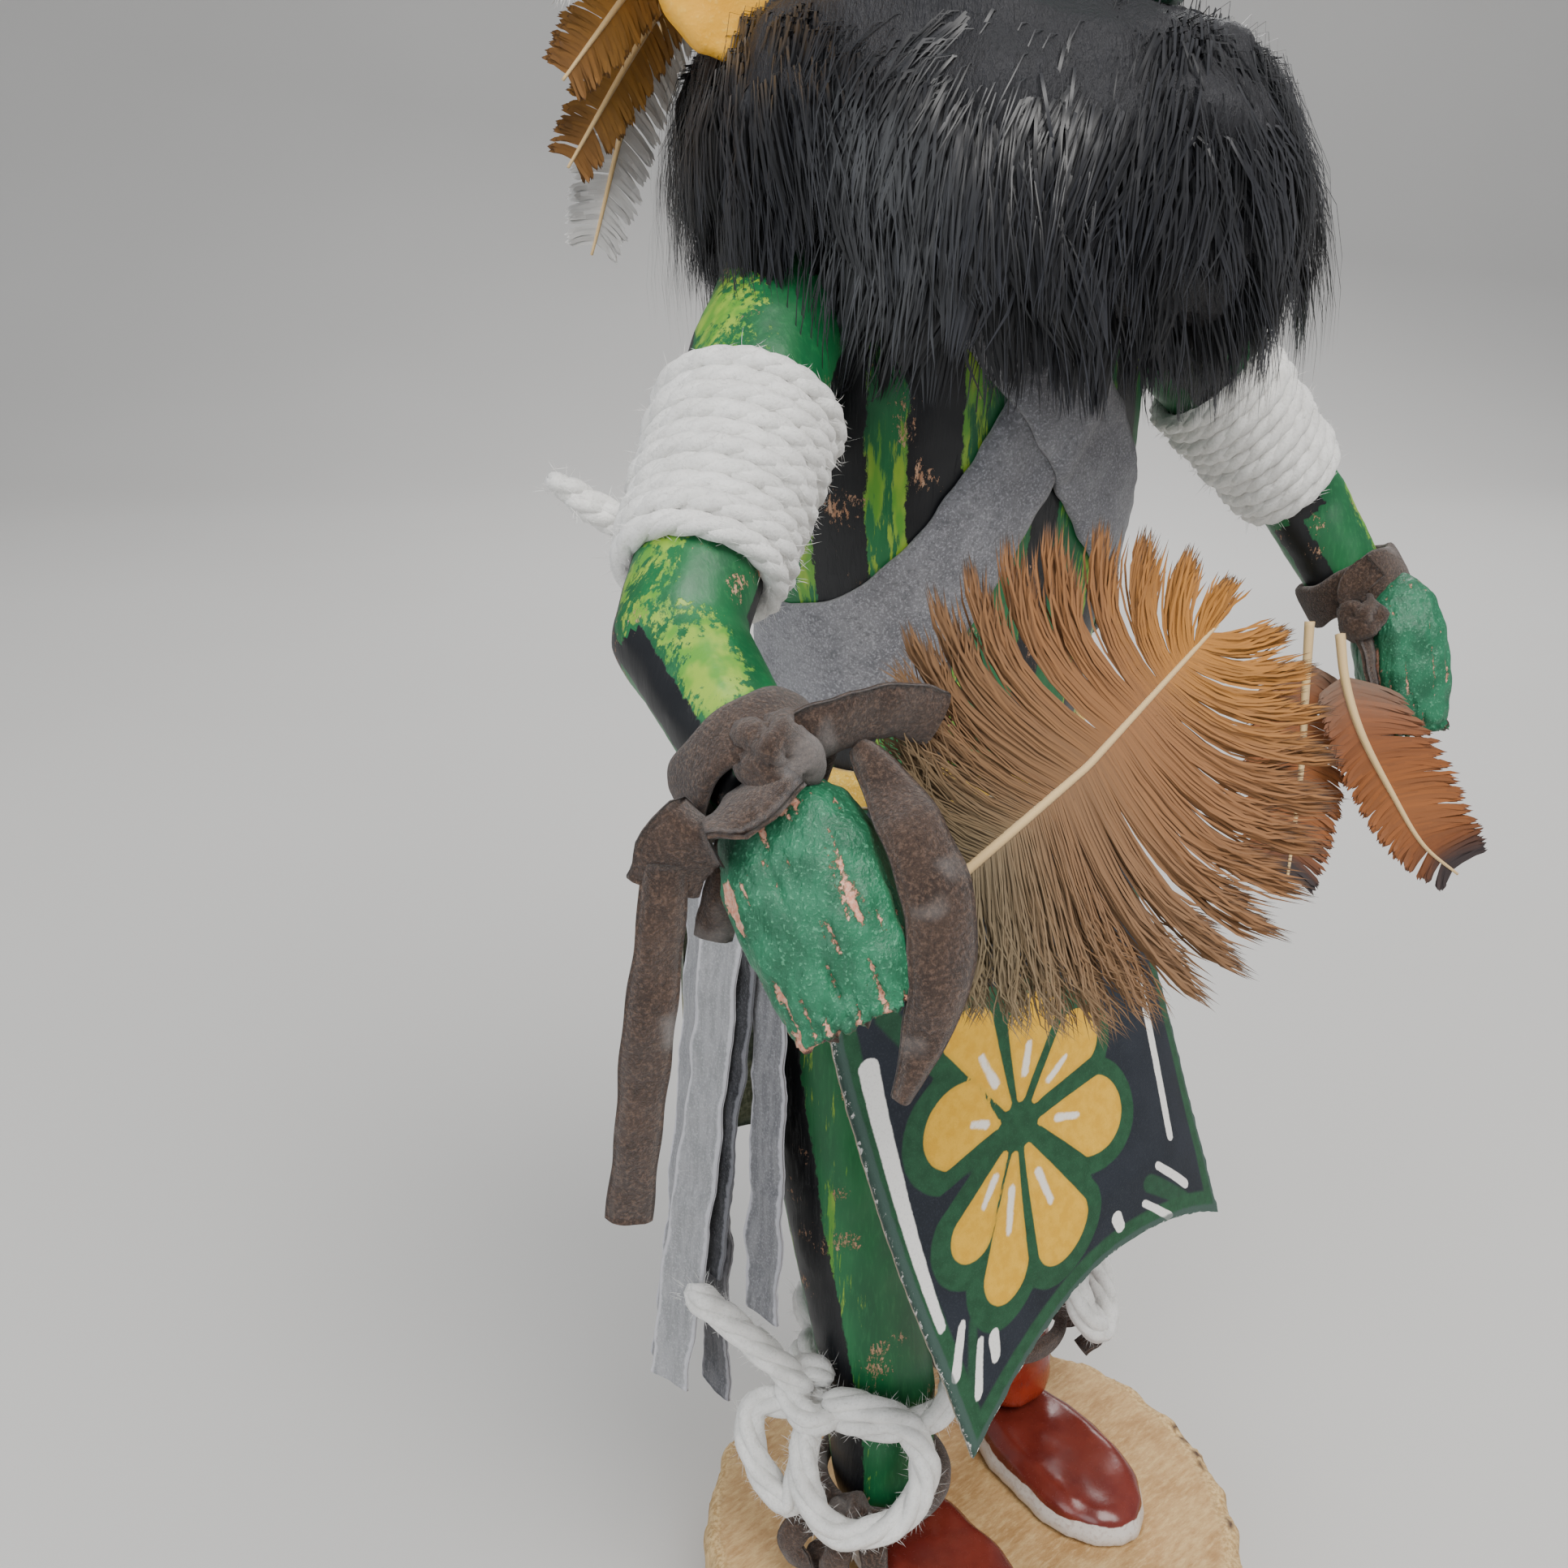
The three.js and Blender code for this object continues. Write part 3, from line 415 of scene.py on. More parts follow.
def painted(name, base, dark, brush, chip, roughness=0.42):
    """Brushed paint on carved wood. The mesh gives stripe and brush: the distance to the edge of
    the nearest stripe in mm, below 0 inside it, and how thick the dry brushing is, 0 to 1."""
    f = Finish(name)
    grain = f.noise(0.5, 4, (1, 1, 0.12), 0.65)
    blotch = f.noise(5, 3, (1, 1, 0.5))
    ragged = f.noise(1.1, 5, (1, 1, 0.45), 0.75)
    green = f.mix(f.noise(7, 2, (1, 1, 0.3)).above(0.5, 0.2), base[0], base[1])
    green = f.mix(grain.above(0.6, 0.12) * 0.35, green, base[2])
    stroke = f.noise(0.75, 5, (1, 1, 0.09), 0.7) * 0.75 + f.noise(3, 2, (1, 1, 0.3)) * 0.4
    brushed = (stroke + f.value("brush") * 0.6).above(0.88, 0.035)
    tint = f.mix(f.noise(2.2, 2, (1, 1, 0.3)).above(0.5, 0.12), brush[0], brush[1])
    color = f.mix(brushed, green, tint)
    edge = f.value("stripe") + (ragged - 0.5) * 2.0 + (blotch - 0.5) * 0.8
    striped = edge.below(0.0, 0.12)
    scuffed = (grain * 0.6 + blotch * 0.5).above(0.72, 0.05) * 0.35
    black = f.mix(scuffed, dark[0], dark[1])
    color = f.mix(striped, color, black)
    flakes = f.noise(0.55, 5, (1, 1, 0.5), 0.8) * 0.6 + f.noise(6.5, 1) * 0.62
    bare = flakes.above(0.775, 0.012)
    wood = f.mix(grain.above(0.5, 0.2), chip[0], chip[1])
    color = f.mix(bare * 0.9, color, wood)
    f.bump(grain * 0.4 + striped * 0.25 - bare * 0.6 + brushed * 0.3, 0.12, 0.7)
    shine = f.noise(3, 3) * 0.16 + (roughness - 0.08) + bare * 0.3
    return f.done(color, shine, specular_ior_level=0.45)


GREENS = ((0.005, 0.085, 0.028), (0.01, 0.15, 0.045), (0.035, 0.22, 0.07))
BLACKS = ((0.005, 0.006, 0.008), (0.03, 0.032, 0.038))
YELLOW_GREENS = ((0.26, 0.42, 0.04), (0.1, 0.3, 0.03))
BARE_WOODS = ((0.48, 0.24, 0.13), (0.62, 0.38, 0.24))


def turned(name, hues, roughness=0.4, bumps=0.25):
    """Even paint with faint brush marks, for the mask and ear lobes."""
    f = Finish(name)
    marks = f.noise(0.6, 4, (1, 0.2, 1), 0.6)
    cloud = f.noise(6, 3)
    color = f.mix(cloud.above(0.5, 0.18), hues[0], hues[1])
    color = f.mix(marks.above(0.62, 0.08) * 0.4, color, hues[2])
    f.bump(marks * 0.5 + cloud * 0.5, bumps, 0.6)
    return f.done(color, f.noise(3, 2) * 0.2 + (roughness - 0.1))


def angle_from(points, centre):
    """Angle round a vertical axis, 0 at the front (-Y) and positive to the figure's left."""
    return np.arctan2(points[:, 0] - centre[0], centre[1] - points[:, 1])


def limb_parts(points, line):
    """Where points are along a bent limb (in segments), how far from it, and their angle."""
    line = np.array(line, float)
    best = np.full(len(points), 1e9)
    share, angle = np.zeros(len(points)), np.zeros(len(points))
    for i in range(len(line) - 1):
        a, b = line[i], line[i + 1]
        t = np.clip((points - a) @ (b - a) / (b - a).dot(b - a), 0, 1)
        off = points - (a + t[:, None] * (b - a))
        far = np.linalg.norm(off, axis=1)
        near = far < best
        along = unit(b - a)
        side = unit(np.cross(along, UP if abs(along[2]) < 0.9 else np.array([0, -1.0, 0])))
        front = np.cross(side, along)
        turn = np.arctan2(off @ side, off @ front)
        best = np.where(near, far, best)
        share = np.where(near, i + t, share)
        angle = np.where(near, turn, angle)
    return share, best, angle


def stripes(angle, radius, middles, half_width):
    """Distance in mm from the edge of the nearest of several stripes, below 0 inside."""
    gaps = [np.abs((angle - m + np.pi) % (2 * np.pi) - np.pi) * radius - half_width for m in middles]
    return np.min(gaps, axis=0)


def beside(distance, reach):
    """1 beside a stripe's edge, fading to 0 at reach millimetres from it."""
    return np.clip(1 - np.maximum(distance, 0) / reach, 0, 1)


# ---------------------------------------------------------------- carved pieces


def body():
    piece = carved("body_carving", "body", 1.25, 30)
    p = points_of(piece)
    p += normals_of(piece) * (field(p, 14, 1) * 0.16 + field(p, 5, 2) * 0.05)[:, None]
    move_points(piece, p)
    p = points_of(piece)
    torso_angle = angle_from(p, (MID_X, TORSO_Y))
    middles = np.radians([-115, -73, -48, -2, 41, 86, 128, 172])
    on_torso = stripes(torso_angle, 23, middles, 3.1)
    right = stripes(limb_angle(p, "right"), 9, (np.radians(-88), np.radians(92)), 4.2)
    left = stripes(limb_angle(p, "left"), 9, (np.radians(-92), np.radians(88)), 4.2)
    leg = np.where(p[:, 0] < MID_X, right, left)
    low = p[:, 2] < 116
    stripe = np.where(low, leg, on_torso)
    brush = np.where(low, 0.42 * beside(leg, 9), 0.45 * beside(on_torso, 4.5))
    brush += 0.25 * ramp(field(p * (1, 1, 0.35), 22, 3), 0.2, 1.2)
    top = np.where(p[:, 0] < MID_X, 29.0, 60.0)
    boot = p[:, 2] - top + field(p, 9, 4) * 0.3
    for key, value in (("stripe", stripe), ("brush", brush), ("boot", boot)):
        set_value(piece.data, key, value)
    paint = painted("striped_green_paint", GREENS, BLACKS, YELLOW_GREENS, BARE_WOODS)
    add_boots(paint)
    return finish_piece(piece, paint, "green_paint", "body")


def limb_angle(points, side):
    """Angle round the nearest stretch of a leg, 0 at its front and positive to the left."""
    line = np.array(LEGS[side])
    z = np.clip(points[:, 2], line[-1, 2], line[0, 2])
    order = np.argsort(line[:, 2])
    x = np.interp(z, line[order, 2], line[order, 0])
    y = np.interp(z, line[order, 2], line[order, 1])
    return np.arctan2(points[:, 0] - x, y - points[:, 1])


BOOT_REDS = ((0.22, 0.018, 0.007), (0.3, 0.032, 0.01), (0.15, 0.012, 0.006))


def add_boots(paint):
    """Puts glossy red over the striped paint where the mesh's boot value is below 0."""
    tree = paint.node_tree
    shader = tree.nodes["Principled BSDF"]
    f = Finish.__new__(Finish)
    f.tree, f.shader = tree, shader
    f.place = next(n for n in tree.nodes if n.type == "VECT_MATH").outputs[0]
    under = shader.inputs["Base Color"].links[0].from_socket
    rough = shader.inputs["Roughness"].links[0].from_socket
    red = f.mix(f.noise(6, 3).above(0.5, 0.2), BOOT_REDS[0], BOOT_REDS[1])
    inside = (f.value("boot") + (f.noise(0.8, 4) - 0.5) * 0.5).below(0.0, 0.08)
    color = f.mix(inside, Wire(tree, under), red)
    tree.links.new(color.socket, shader.inputs["Base Color"])
    gloss = Wire(tree, rough) - inside * 0.14
    tree.links.new(gloss.socket, shader.inputs["Roughness"])


def arm(side):
    piece = carved(f"arm_carving_{side}", f"arm_{side}", 0.75, 16)
    p = points_of(piece)
    p += normals_of(piece) * (field(p, 8, 5) * 0.1 + field(p, 2.5, 6) * 0.03)[:, None]
    move_points(piece, p)
    p = points_of(piece)
    share, far, angle = limb_parts(p, ARMS[side])
    turn = -1 if side == "right" else 1
    middles = (np.radians(turn * -82), np.radians(turn * 112))
    stripe = stripes(angle, 7.5, middles, 3.4)
    brush = 0.5 * ramp(1.2 - np.abs(angle + turn * np.radians(20)), 0.2, 0.9)
    brush += 0.2 * ramp(field(p, 12, 8), 0.0, 1.2)
    set_value(piece.data, "stripe", stripe)
    set_value(piece.data, "brush", brush)
    paint = painted(f"arm_paint_{side}", GREENS, BLACKS, YELLOW_GREENS, BARE_WOODS)
    return finish_piece(piece, paint, "green_paint", f"arm_{side}")


body()
for side in ("right", "left"):
    arm(side)

# ---------------------------------------------------------------- hands, boots, mask and slab

HAND_FRAMES = {
    "right": ((-60.5, -24.6, 167.5), (0.03, -0.56, -0.83), (0.6, -0.65, 0.46)),
    "left": ((64.6, -13.6, 164), (-0.05, -0.3, -0.95), (-0.62, -0.75, 0.2)),
}


def hand_axes(side):
    """Origin at the wrist, and the directions across, through and down the hand."""
    origin, down, across = (np.array(v, float) for v in HAND_FRAMES[side])
    down = unit(down)
    across = unit(across - down * across.dot(down))
    return origin, across, np.cross(down, across), down


def hand_paint(side):
    """Worn teal paint: bare pink wood where the mesh's worn value is high, and along the grain, with painted
    shade, dark brown, in the finger slits and at the far end of the hand.
    """
    f = Finish(f"hand_paint_{side}")
    streak = f.value("grain")
    fine = f.noise(0.35, 4)
    cloud = f.noise(3.5, 3)
    teal = f.mix(cloud.above(0.5, 0.15), (0.008, 0.1, 0.045), (0.016, 0.16, 0.075))
    teal = f.mix(fine.above(0.62, 0.06) * 0.6, teal, (0.1, 0.36, 0.2))
    wear = f.value("worn") + streak * 0.55 + (f.noise(0.9, 5, rough=0.7) - 0.5) * 0.9
    bare = wear.above(0.6, 0.05)
    pink = f.mix(fine.above(0.5, 0.1), (0.62, 0.26, 0.17), (0.7, 0.42, 0.3))
    color = f.mix(bare, teal, pink)
    # Painted shade: dark brown where the mesh's slit value is high, along the finger slits and in patches at
    # the far end of the hand.
    dark = f.value("slit_shade") + (fine - 0.5) * 0.5
    color = f.mix(dark.above(0.5, 0.15), color, (0.045, 0.018, 0.012))
    f.bump(fine * 0.4 + f.noise(0.8, 4, (1, 1, 0.25)) - bare * 0.5, 0.3, 0.9)
    return f.done(color, bare * 0.25 + fine * 0.2 + 0.36)


def hand(side):
    piece = carved(f"hand_carving_{side}", f"hand_{side}", 0.42, 3)
    origin, across, deep, down = hand_axes(side)
    p = points_of(piece)
    local = np.stack([(p - origin) @ across, (p - origin) @ deep, (p - origin) @ down], axis=1)
    stretched = local * (1, 1, 0.12)
    grain = field(stretched, 1.1, 11, 24) * 0.6 + field(stretched, 2.6, 12) * 0.4
    low = ramp(local[:, 2], 8, 20)
    tip = ramp(local[:, 2], 18.5, 22)
    cut = ramp(grain, 0.35, 1.1) * (0.35 + 0.65 * low)
    out = normals_of(piece)
    rough = field(local, 2.2, 13) * 0.12 + field(local, 6, 14) * 0.2
    p += out * (rough * (0.5 + tip) - cut * 0.65 - tip * (0.2 + 0.35 * field(local, 1.2, 15)))[:, None]
    move_points(piece, p)
    half = 7.75
    side_edge = ramp(np.abs(local[:, 0]) / half, 0.72, 1.0)
    top_patch = np.exp(-(((local[:, 0] - 1.5) / 3) ** 2 + ((local[:, 2] - 1.5) / 2.2) ** 2))
    left_patch = np.exp(-(((local[:, 0] + 6.2) / 1.6) ** 2 + ((local[:, 2] - 7.5) / 2.6) ** 2))
    right_area = np.exp(-(((local[:, 0] - 4) / 3.4) ** 2 + ((local[:, 2] - 14) / 4.5) ** 2))
    worn = 0.62 * top_patch + 0.72 * left_patch + 0.34 * right_area + 0.3 * low * ramp(-local[:, 0], 1, 6)
    worn += 0.26 * tip + 0.1 * side_edge * low
    # The slit value places painted shade: lines along the finger slits on one face of the hand, and patches
    # at its far end.
    slit_shade = np.zeros(len(p))
    for i in (-1, 0, 1):
        x = (local[:, 0] - i * half * 2 * 0.26 + 0.3 * field(local, 4, 30 + i)) / 0.42
        reach = ramp(local[:, 2], 11.8, 13.5) * ramp(-local[:, 2], -22.5, -20.5)
        slit_shade = np.maximum(slit_shade, np.exp(-x * x) * reach * (local[:, 1] < 0))
    slit_shade = np.maximum(slit_shade, 0.75 * ramp(local[:, 2], 20.6, 22.4) * ramp(field(local, 1.5, 16), -0.6, 0.6))
    for key, value in (("grain", ramp(grain, -0.4, 1.3)), ("worn", worn), ("slit_shade", slit_shade)):
        set_value(piece.data, key, value)
    return finish_piece(piece, hand_paint(side), "hand_paint", f"hand_{side}")


def boot_paint():
    """Glossy red-brown boot with a hand-painted white sole band, from the mesh's sole value."""
    f = Finish("boot_paint")
    marks = f.noise(0.7, 4)
    red = f.mix(f.noise(5, 3).above(0.5, 0.2), (0.11, 0.014, 0.01), (0.16, 0.024, 0.015))
    edge = f.value("sole") + (f.noise(2.6, 3) - 0.5) * 1.1
    white = f.mix(marks.above(0.6, 0.1), (0.62, 0.58, 0.54), (0.45, 0.38, 0.34))
    color = f.mix(edge.below(0.0, 0.12), red, white)
    f.bump(marks * 0.6, 0.06, 0.6)
    return f.done(color, marks * 0.12 + 0.2, specular_ior_level=0.55)


def foot(side, paint):
    piece = carved(f"boot_{side}", f"foot_{side}", 0.55, 12)
    p = points_of(piece)
    out = normals_of(piece)
    p += out * (field(p, 7, 17) * 0.12)[:, None]
    move_points(piece, p)
    set_value(piece.data, "sole", p[:, 2] - 23.9 - 0.3 * field(p, 8, 18))
    return finish_piece(piece, paint, "boot_paint", f"foot_{side}")


def head():
    piece = carved("mask_carving", "head", 1.1, 18)
    p = points_of(piece)
    p += normals_of(piece) * (field(p, 11, 19) * 0.14)[:, None]
    move_points(piece, p)
    hues = ((0.012, 0.1, 0.055), (0.018, 0.13, 0.07), (0.03, 0.17, 0.1))
    finish_piece(piece, turned("mask_paint", hues), "mask_paint", "head")
    hues = ((0.85, 0.4, 0.02), (0.9, 0.47, 0.04), (0.95, 0.6, 0.12))
    paint = turned("ear_paint", hues, 0.45)
    for side in ("right", "left"):
        ear = carved(f"ear_lobe_{side}", f"ear_{side}", 0.5, 8)
        p = points_of(ear)
        move_points(ear, p + normals_of(ear) * (field(p, 5, 20) * 0.1)[:, None])
        finish_piece(ear, paint, "ear_paint", f"ear_{side}")


def slab():
    """The sawn slab: fibrous end grain on top, long torn fibres and bark specks round the rim."""
    piece = carved("sawn_slab", "base_slab", 1.1, 8)
    p = points_of(piece)
    out = normals_of(piece)
    rim = ramp(np.hypot(p[:, 0], p[:, 1]), 38.5, 40.5) * ramp(p[:, 2], 0.2, 1.5)
    fibre = field(p * (1, 1, 0.16), 1.6, 21, 22)
    top = ramp(p[:, 2], 19, 20) * (1 - rim)
    lift = rim * (fibre * 0.16 + field(p, 9, 22) * 0.3) + top * (field(p, 1.8, 23) * 0.06 + field(p, 10,
        24) * 0.1)
    lift *= ramp(p[:, 2], 0.1, 1.2)
    p += out * lift[:, None]
    move_points(piece, p)
    set_value(piece.data, "rim", rim)
    set_value(piece.data, "bark", ramp(field(p * (1, 1, 0.4), 3.4, 25, 20), 1.25, 1.6) * rim)
    f = Finish("raw_wood")
    fibres = f.noise(0.7, 5, (1, 1, 0.1), 0.7)
    flecks = f.noise(0.9, 5, (0.3, 1, 1), 0.75)
    cloud = f.noise(9, 4)
    tan = f.mix(cloud.above(0.5, 0.14), (0.38, 0.21, 0.075), (0.5, 0.31, 0.13))
    tan = f.mix(flecks.above(0.56, 0.1) * 0.6, tan, (0.66, 0.46, 0.22))
    tan = f.mix(flecks.below(0.4, 0.08) * 0.7, tan, (0.33, 0.17, 0.055))
    side = f.mix(fibres.above(0.5, 0.12), (0.4, 0.24, 0.09), (0.66, 0.46, 0.22))
    color = f.mix(f.value("rim"), tan, side)
    specks = f.value("bark").either(f.noise(1.3, 4, rough=0.8).above(0.735, 0.02) * 0.7)
    color = f.mix(specks, color, (0.07, 0.035, 0.02))
    f.bump(flecks * 0.6 + fibres * 0.5, 0.3, 0.9)
    return finish_piece(piece, f.done(color, flecks * 0.2 + 0.62), "slab", "base_slab")


for side in ("right", "left"):
    hand(side)
sole_paint = boot_paint()
for side in ("right", "left"):
    foot(side, sole_paint)
head()
slab()

# ---------------------------------------------------------------- suede straps and belt


def suede(name, hues, nap=1.0, worn=None):
    """Napped suede: soft cloudy colour, a fine speckled nap and a sheen."""
    f = Finish(name)
    fibre = f.noise(0.32, 5, rough=0.75)
    short = f.noise(0.75, 4, (1, 0.4, 1), 0.7, 0.8)
    cloud = f.noise(6, 3)
    color = f.mix(cloud.above(0.5, 0.16), hues[0], hues[1])
    color = f.mix(fibre.above(0.56, 0.07) * 0.75, color, hues[2])
    color = f.mix(short.below(0.42, 0.06) * 0.5, color, hues[3])
    if worn is not None:
        color = f.mix(f.value("worn") + (short - 0.5) * 0.5 * f.value("worn"), color, worn)
    f.bump(fibre * 0.6 + short * 0.6, 0.28 * nap, 0.9)
    return f.done(color, 0.92, sheen_weight=0.35, sheen_roughness=0.5, specular_ior_level=0.2)


def surface_tree(*objects):
    """One tree of the given pieces' faces, for finding where a ray meets them."""
    points, faces, start = [], [], 0
    for obj in objects:
        mesh = obj.data
        points += [v.co.copy() for v in mesh.vertices]
        faces += [[i + start for i in polygon.vertices] for polygon in mesh.polygons]
        start += len(mesh.vertices)
    return BVHTree.FromPolygons(points, faces)


def wrapped_ring(trees, centre, lean, offsets, steps):
    """Points where rays towards a tilted strap's middle line meet the body, row by row, with the
    way out at each. The later trees lie over the first."""
    normal = np.array([math.sin(lean), 0, math.cos(lean)])
    out_x = np.array([math.cos(lean), 0, -math.sin(lean)])
    angle = np.arange(steps) / steps * 2 * np.pi
    ways = np.cos(angle)[:, None] * out_x + np.sin(angle)[:, None] * np.array([0, 1.0, 0])
    hits = np.zeros((steps, len(offsets), 3))
    for i, way in enumerate(ways):
        for j, offset in enumerate(offsets):
            start = centre + normal * offset + way * 70
            best = 0.0
            for tree in trees:
                place, _, _, far = tree.ray_cast(Vector(start * MM), Vector(-way))
                if place is not None:
                    best = max(best, 70 - far / MM)
            hits[i, j] = centre + normal * offset + way * best
    return hits, ways


def even_out(rows, rounds):
    for _ in range(rounds):
        rows = rows * 0.5 + (np.roll(rows, 1, axis=0) + np.roll(rows, -1, axis=0)) * 0.25
    return rows


def strap(name, trees, centre, lean, width, thick, paint, slot, node, seed, lift=0.25):
    """A suede band round the torso, lying on what the trees hold."""
    rows = 13
    spread = np.linspace(-1, 1, rows)
    offsets = spread * width / 2
    hits, ways = wrapped_ring(trees, np.array(centre, float), lean, offsets, 260)
    hits = even_out(hits, 4)
    normal = np.array([math.sin(lean), 0, math.cos(lean)])
    run = np.arange(260)[:, None] * 0.7
    wave = 0.25 * np.sin(run / 9 + seed) + 0.18 * np.sin(run / 2.3 + seed * 2) + 0.1 * np.sin(run / 1.1)
    hits += normal * (wave * np.abs(spread))[..., None] * np.sign(spread)[:, None] * 0.8
    out = np.repeat(ways[:, None], rows, axis=1)
    around = unit(np.roll(hits, -1, axis=0) - np.roll(hits, 1, axis=0))
    out = unit(out - around * (out * around).sum(-1, keepdims=True))
    edge = ramp(1 - np.abs(spread), 0, 0.12)[:, None]
    flat = hits.reshape(-1, 3)
    puff = (field(flat, 7, seed) * 0.12 + field(flat, 2, seed + 1) * 0.06).reshape(hits.shape[:2])[..., None]
    inner = hits + out * lift
    outer = hits + out * (lift + thick * (0.55 + 0.45 * edge) + puff * edge)
    rings = np.concatenate([outer, inner[:, ::-1]], axis=1)
    soup = Soup()
    rings_into(soup, rings, loop=True)
    piece = mesh_from(name, soup)
    return finish_piece(piece, paint, slot, node)


GREYS = ((0.15, 0.15, 0.165), (0.21, 0.21, 0.225), (0.42, 0.42, 0.45), (0.075, 0.075, 0.085))
torso = bpy.data.objects["body_carving"]
torso_tree = surface_tree(torso)
grey_suede = suede("grey_suede", GREYS)
under = strap("strap_under", [torso_tree], (-3, 15, 188.2), -math.atan(1.5), 13, 1.2, grey_suede,
              "suede", "bandolier_under", 3)
under_tree = surface_tree(under)
strap("strap_over", [torso_tree, under_tree], (7.9, 15, 189.5), math.atan(1.15), 14.5, 1.2,
             grey_suede, "suede", "bandolier_over", 5)
YELLOWS = ((0.72, 0.4, 0.03), (0.8, 0.5, 0.06), (0.9, 0.66, 0.2), (0.5, 0.24, 0.02))
strap("yellow_belt", [torso_tree], (MID_X, 20, 143.25), 0.0, 10.5, 1.4, suede("yellow_suede", YELLOWS),
      "belt", "belt", 7)

# ---------------------------------------------------------------- hung leather and cloth


def sheet_into(soup, front, back, **values):
    """A closed thin sheet between two equal grids of points; values are given for the grid."""
    rows, columns = front.shape[:2]
    grid = grid_faces(rows, columns)
    n = rows * columns
    rim = np.concatenate([
        np.arange(columns), np.arange(1, rows) * columns + columns - 1,
        (rows - 1) * columns + np.arange(columns - 2, -1, -1), np.arange(rows - 2, 0, -1) * columns,
    ])
    after = np.roll(rim, -1)
    walls = np.stack([rim, rim + n, after + n, after], axis=1)
    faces = np.vstack([grid[:, ::-1], grid + n, walls])
    both = {}
    for key, value in values.items():
        value = np.broadcast_to(np.asarray(value, float), (rows, columns)).ravel()
        both[key] = np.concatenate([value, value])
    points = np.vstack([front.reshape(-1, 3), back.reshape(-1, 3)])
    soup.add(points, faces, back=np.repeat([0.0, 1.0], n), **both)


def from_stroke(points, start, end, wide, wide_end=None):
    """Signed distance to a straight brush stroke with round ends and a width at each end."""
    a, b = np.array(start, float), np.array(end, float)
    t = np.clip((points - a) @ (b - a) / (b - a).dot(b - a), 0, 1)
    width = wide + ((wide if wide_end is None else wide_end) - wide) * t
    return np.linalg.norm(points - a - t[:, None] * (b - a), axis=1) - width / 2


APRON_TOP = 145.0
APRON_CORNERS = {"right": (-25.5, -21.3, 64.5), "left": (32.5, -17.3, 72.3)}
# The flower, in mm across the apron from its middle and down it from the top: its hub, and the
# tip and greatest width of each petal.
HUB = np.array([-9.5, 53.0])
HUB_RADIUS = 3.7
PETALS = [
    ((-3, 34), 8.5), ((7, 43), 10), ((9, 62), 13), ((-6, 77), 10.5),
    ((-19, 73), 8), ((-23, 63), 7), ((-22, 43), 11), ((-15, 31), 7.5),
]
# White strokes: start, end and the width at each.
STROKES = [
    ((-27, 32), (-28, 67.5), 2.4, 1.2), ((22, 41), (20, 69), 2, 1.7),
    ((-25.5, 69.5), (-28.5, 73.5), 1.1, 1.6), ((-24, 73.5), (-26.5, 78.5), 1.1, 1.5),
    ((-22, 75), (-22.5, 77.5), 1.9, 1.6), ((15, 73), (21.5, 78), 1.5, 1.9),
    ((10.5, 78.5), (16, 83), 1.3, 1.8), ((4, 78), (4.5, 80), 2.3, 2),
]
VEINS = [((12.5, 75.5), (26, 84.5), 3.4, 3), ((-24, 70.5), (-29.5, 82), 1.3, 2.2), ((-24, 26.5), (-22, 31),
    2.6, 2.2)]


def petal_marks(points):
    """Distances to the petals, each a drop that widens from the hub to its round tip, and to the
    short white shine painted along the middle of each."""
    petals, shines = [], []
    for tip, width in PETALS:
        away = unit(np.array(tip, float) - HUB)
        start, end = HUB + away * (HUB_RADIUS + 0.4), np.array(tip) - away * width / 2
        petals.append(from_stroke(points, start, end, 1.4, width))
        shines.append(from_stroke(points, start + (end - start) * 0.3, start + (end - start) * 0.68, 1.25,
            0.9))
    return np.min(petals, axis=0), np.min(shines, axis=0)


def apron_points(s, t):
    """The apron's back face for s across, -1 to 1, and t down, 0 to 1, as arrays."""
    s, t = s[..., None], t[..., None]
    x, y, z = (np.eye(3)[k] for k in range(3))
    upper = (MID_X + 25 * s) * x + (-1 + 10.5 * np.abs(s) ** 2.6) * y + APRON_TOP * z
    right, left = (np.array(APRON_CORNERS[k]) for k in ("right", "left"))
    low = right + (left - right) * (s + 1) / 2 + (1 - s * s) * (10 * z + 1.5 * y)
    hips = np.sin(np.pi * np.minimum(1, 1.15 * t))
    flare = s * np.where(s < 0, 8, 0.5) * np.sin(np.pi * t**0.6)
    return upper + (low - upper) * t + 2.2 * hips * (1 - 0.5 * s * s) * y + flare * x


def near_edge(points, edge):
    """Distance of each grid point from the nearest point of a border line."""
    flat = points.reshape(-1, 3)
    out = np.full(len(flat), 1e9)
    for part in np.array_split(edge, 12):
        out = np.minimum(out, np.linalg.norm(flat[:, None] - part, axis=-1).min(axis=1))
    return out.reshape(points.shape[:2])


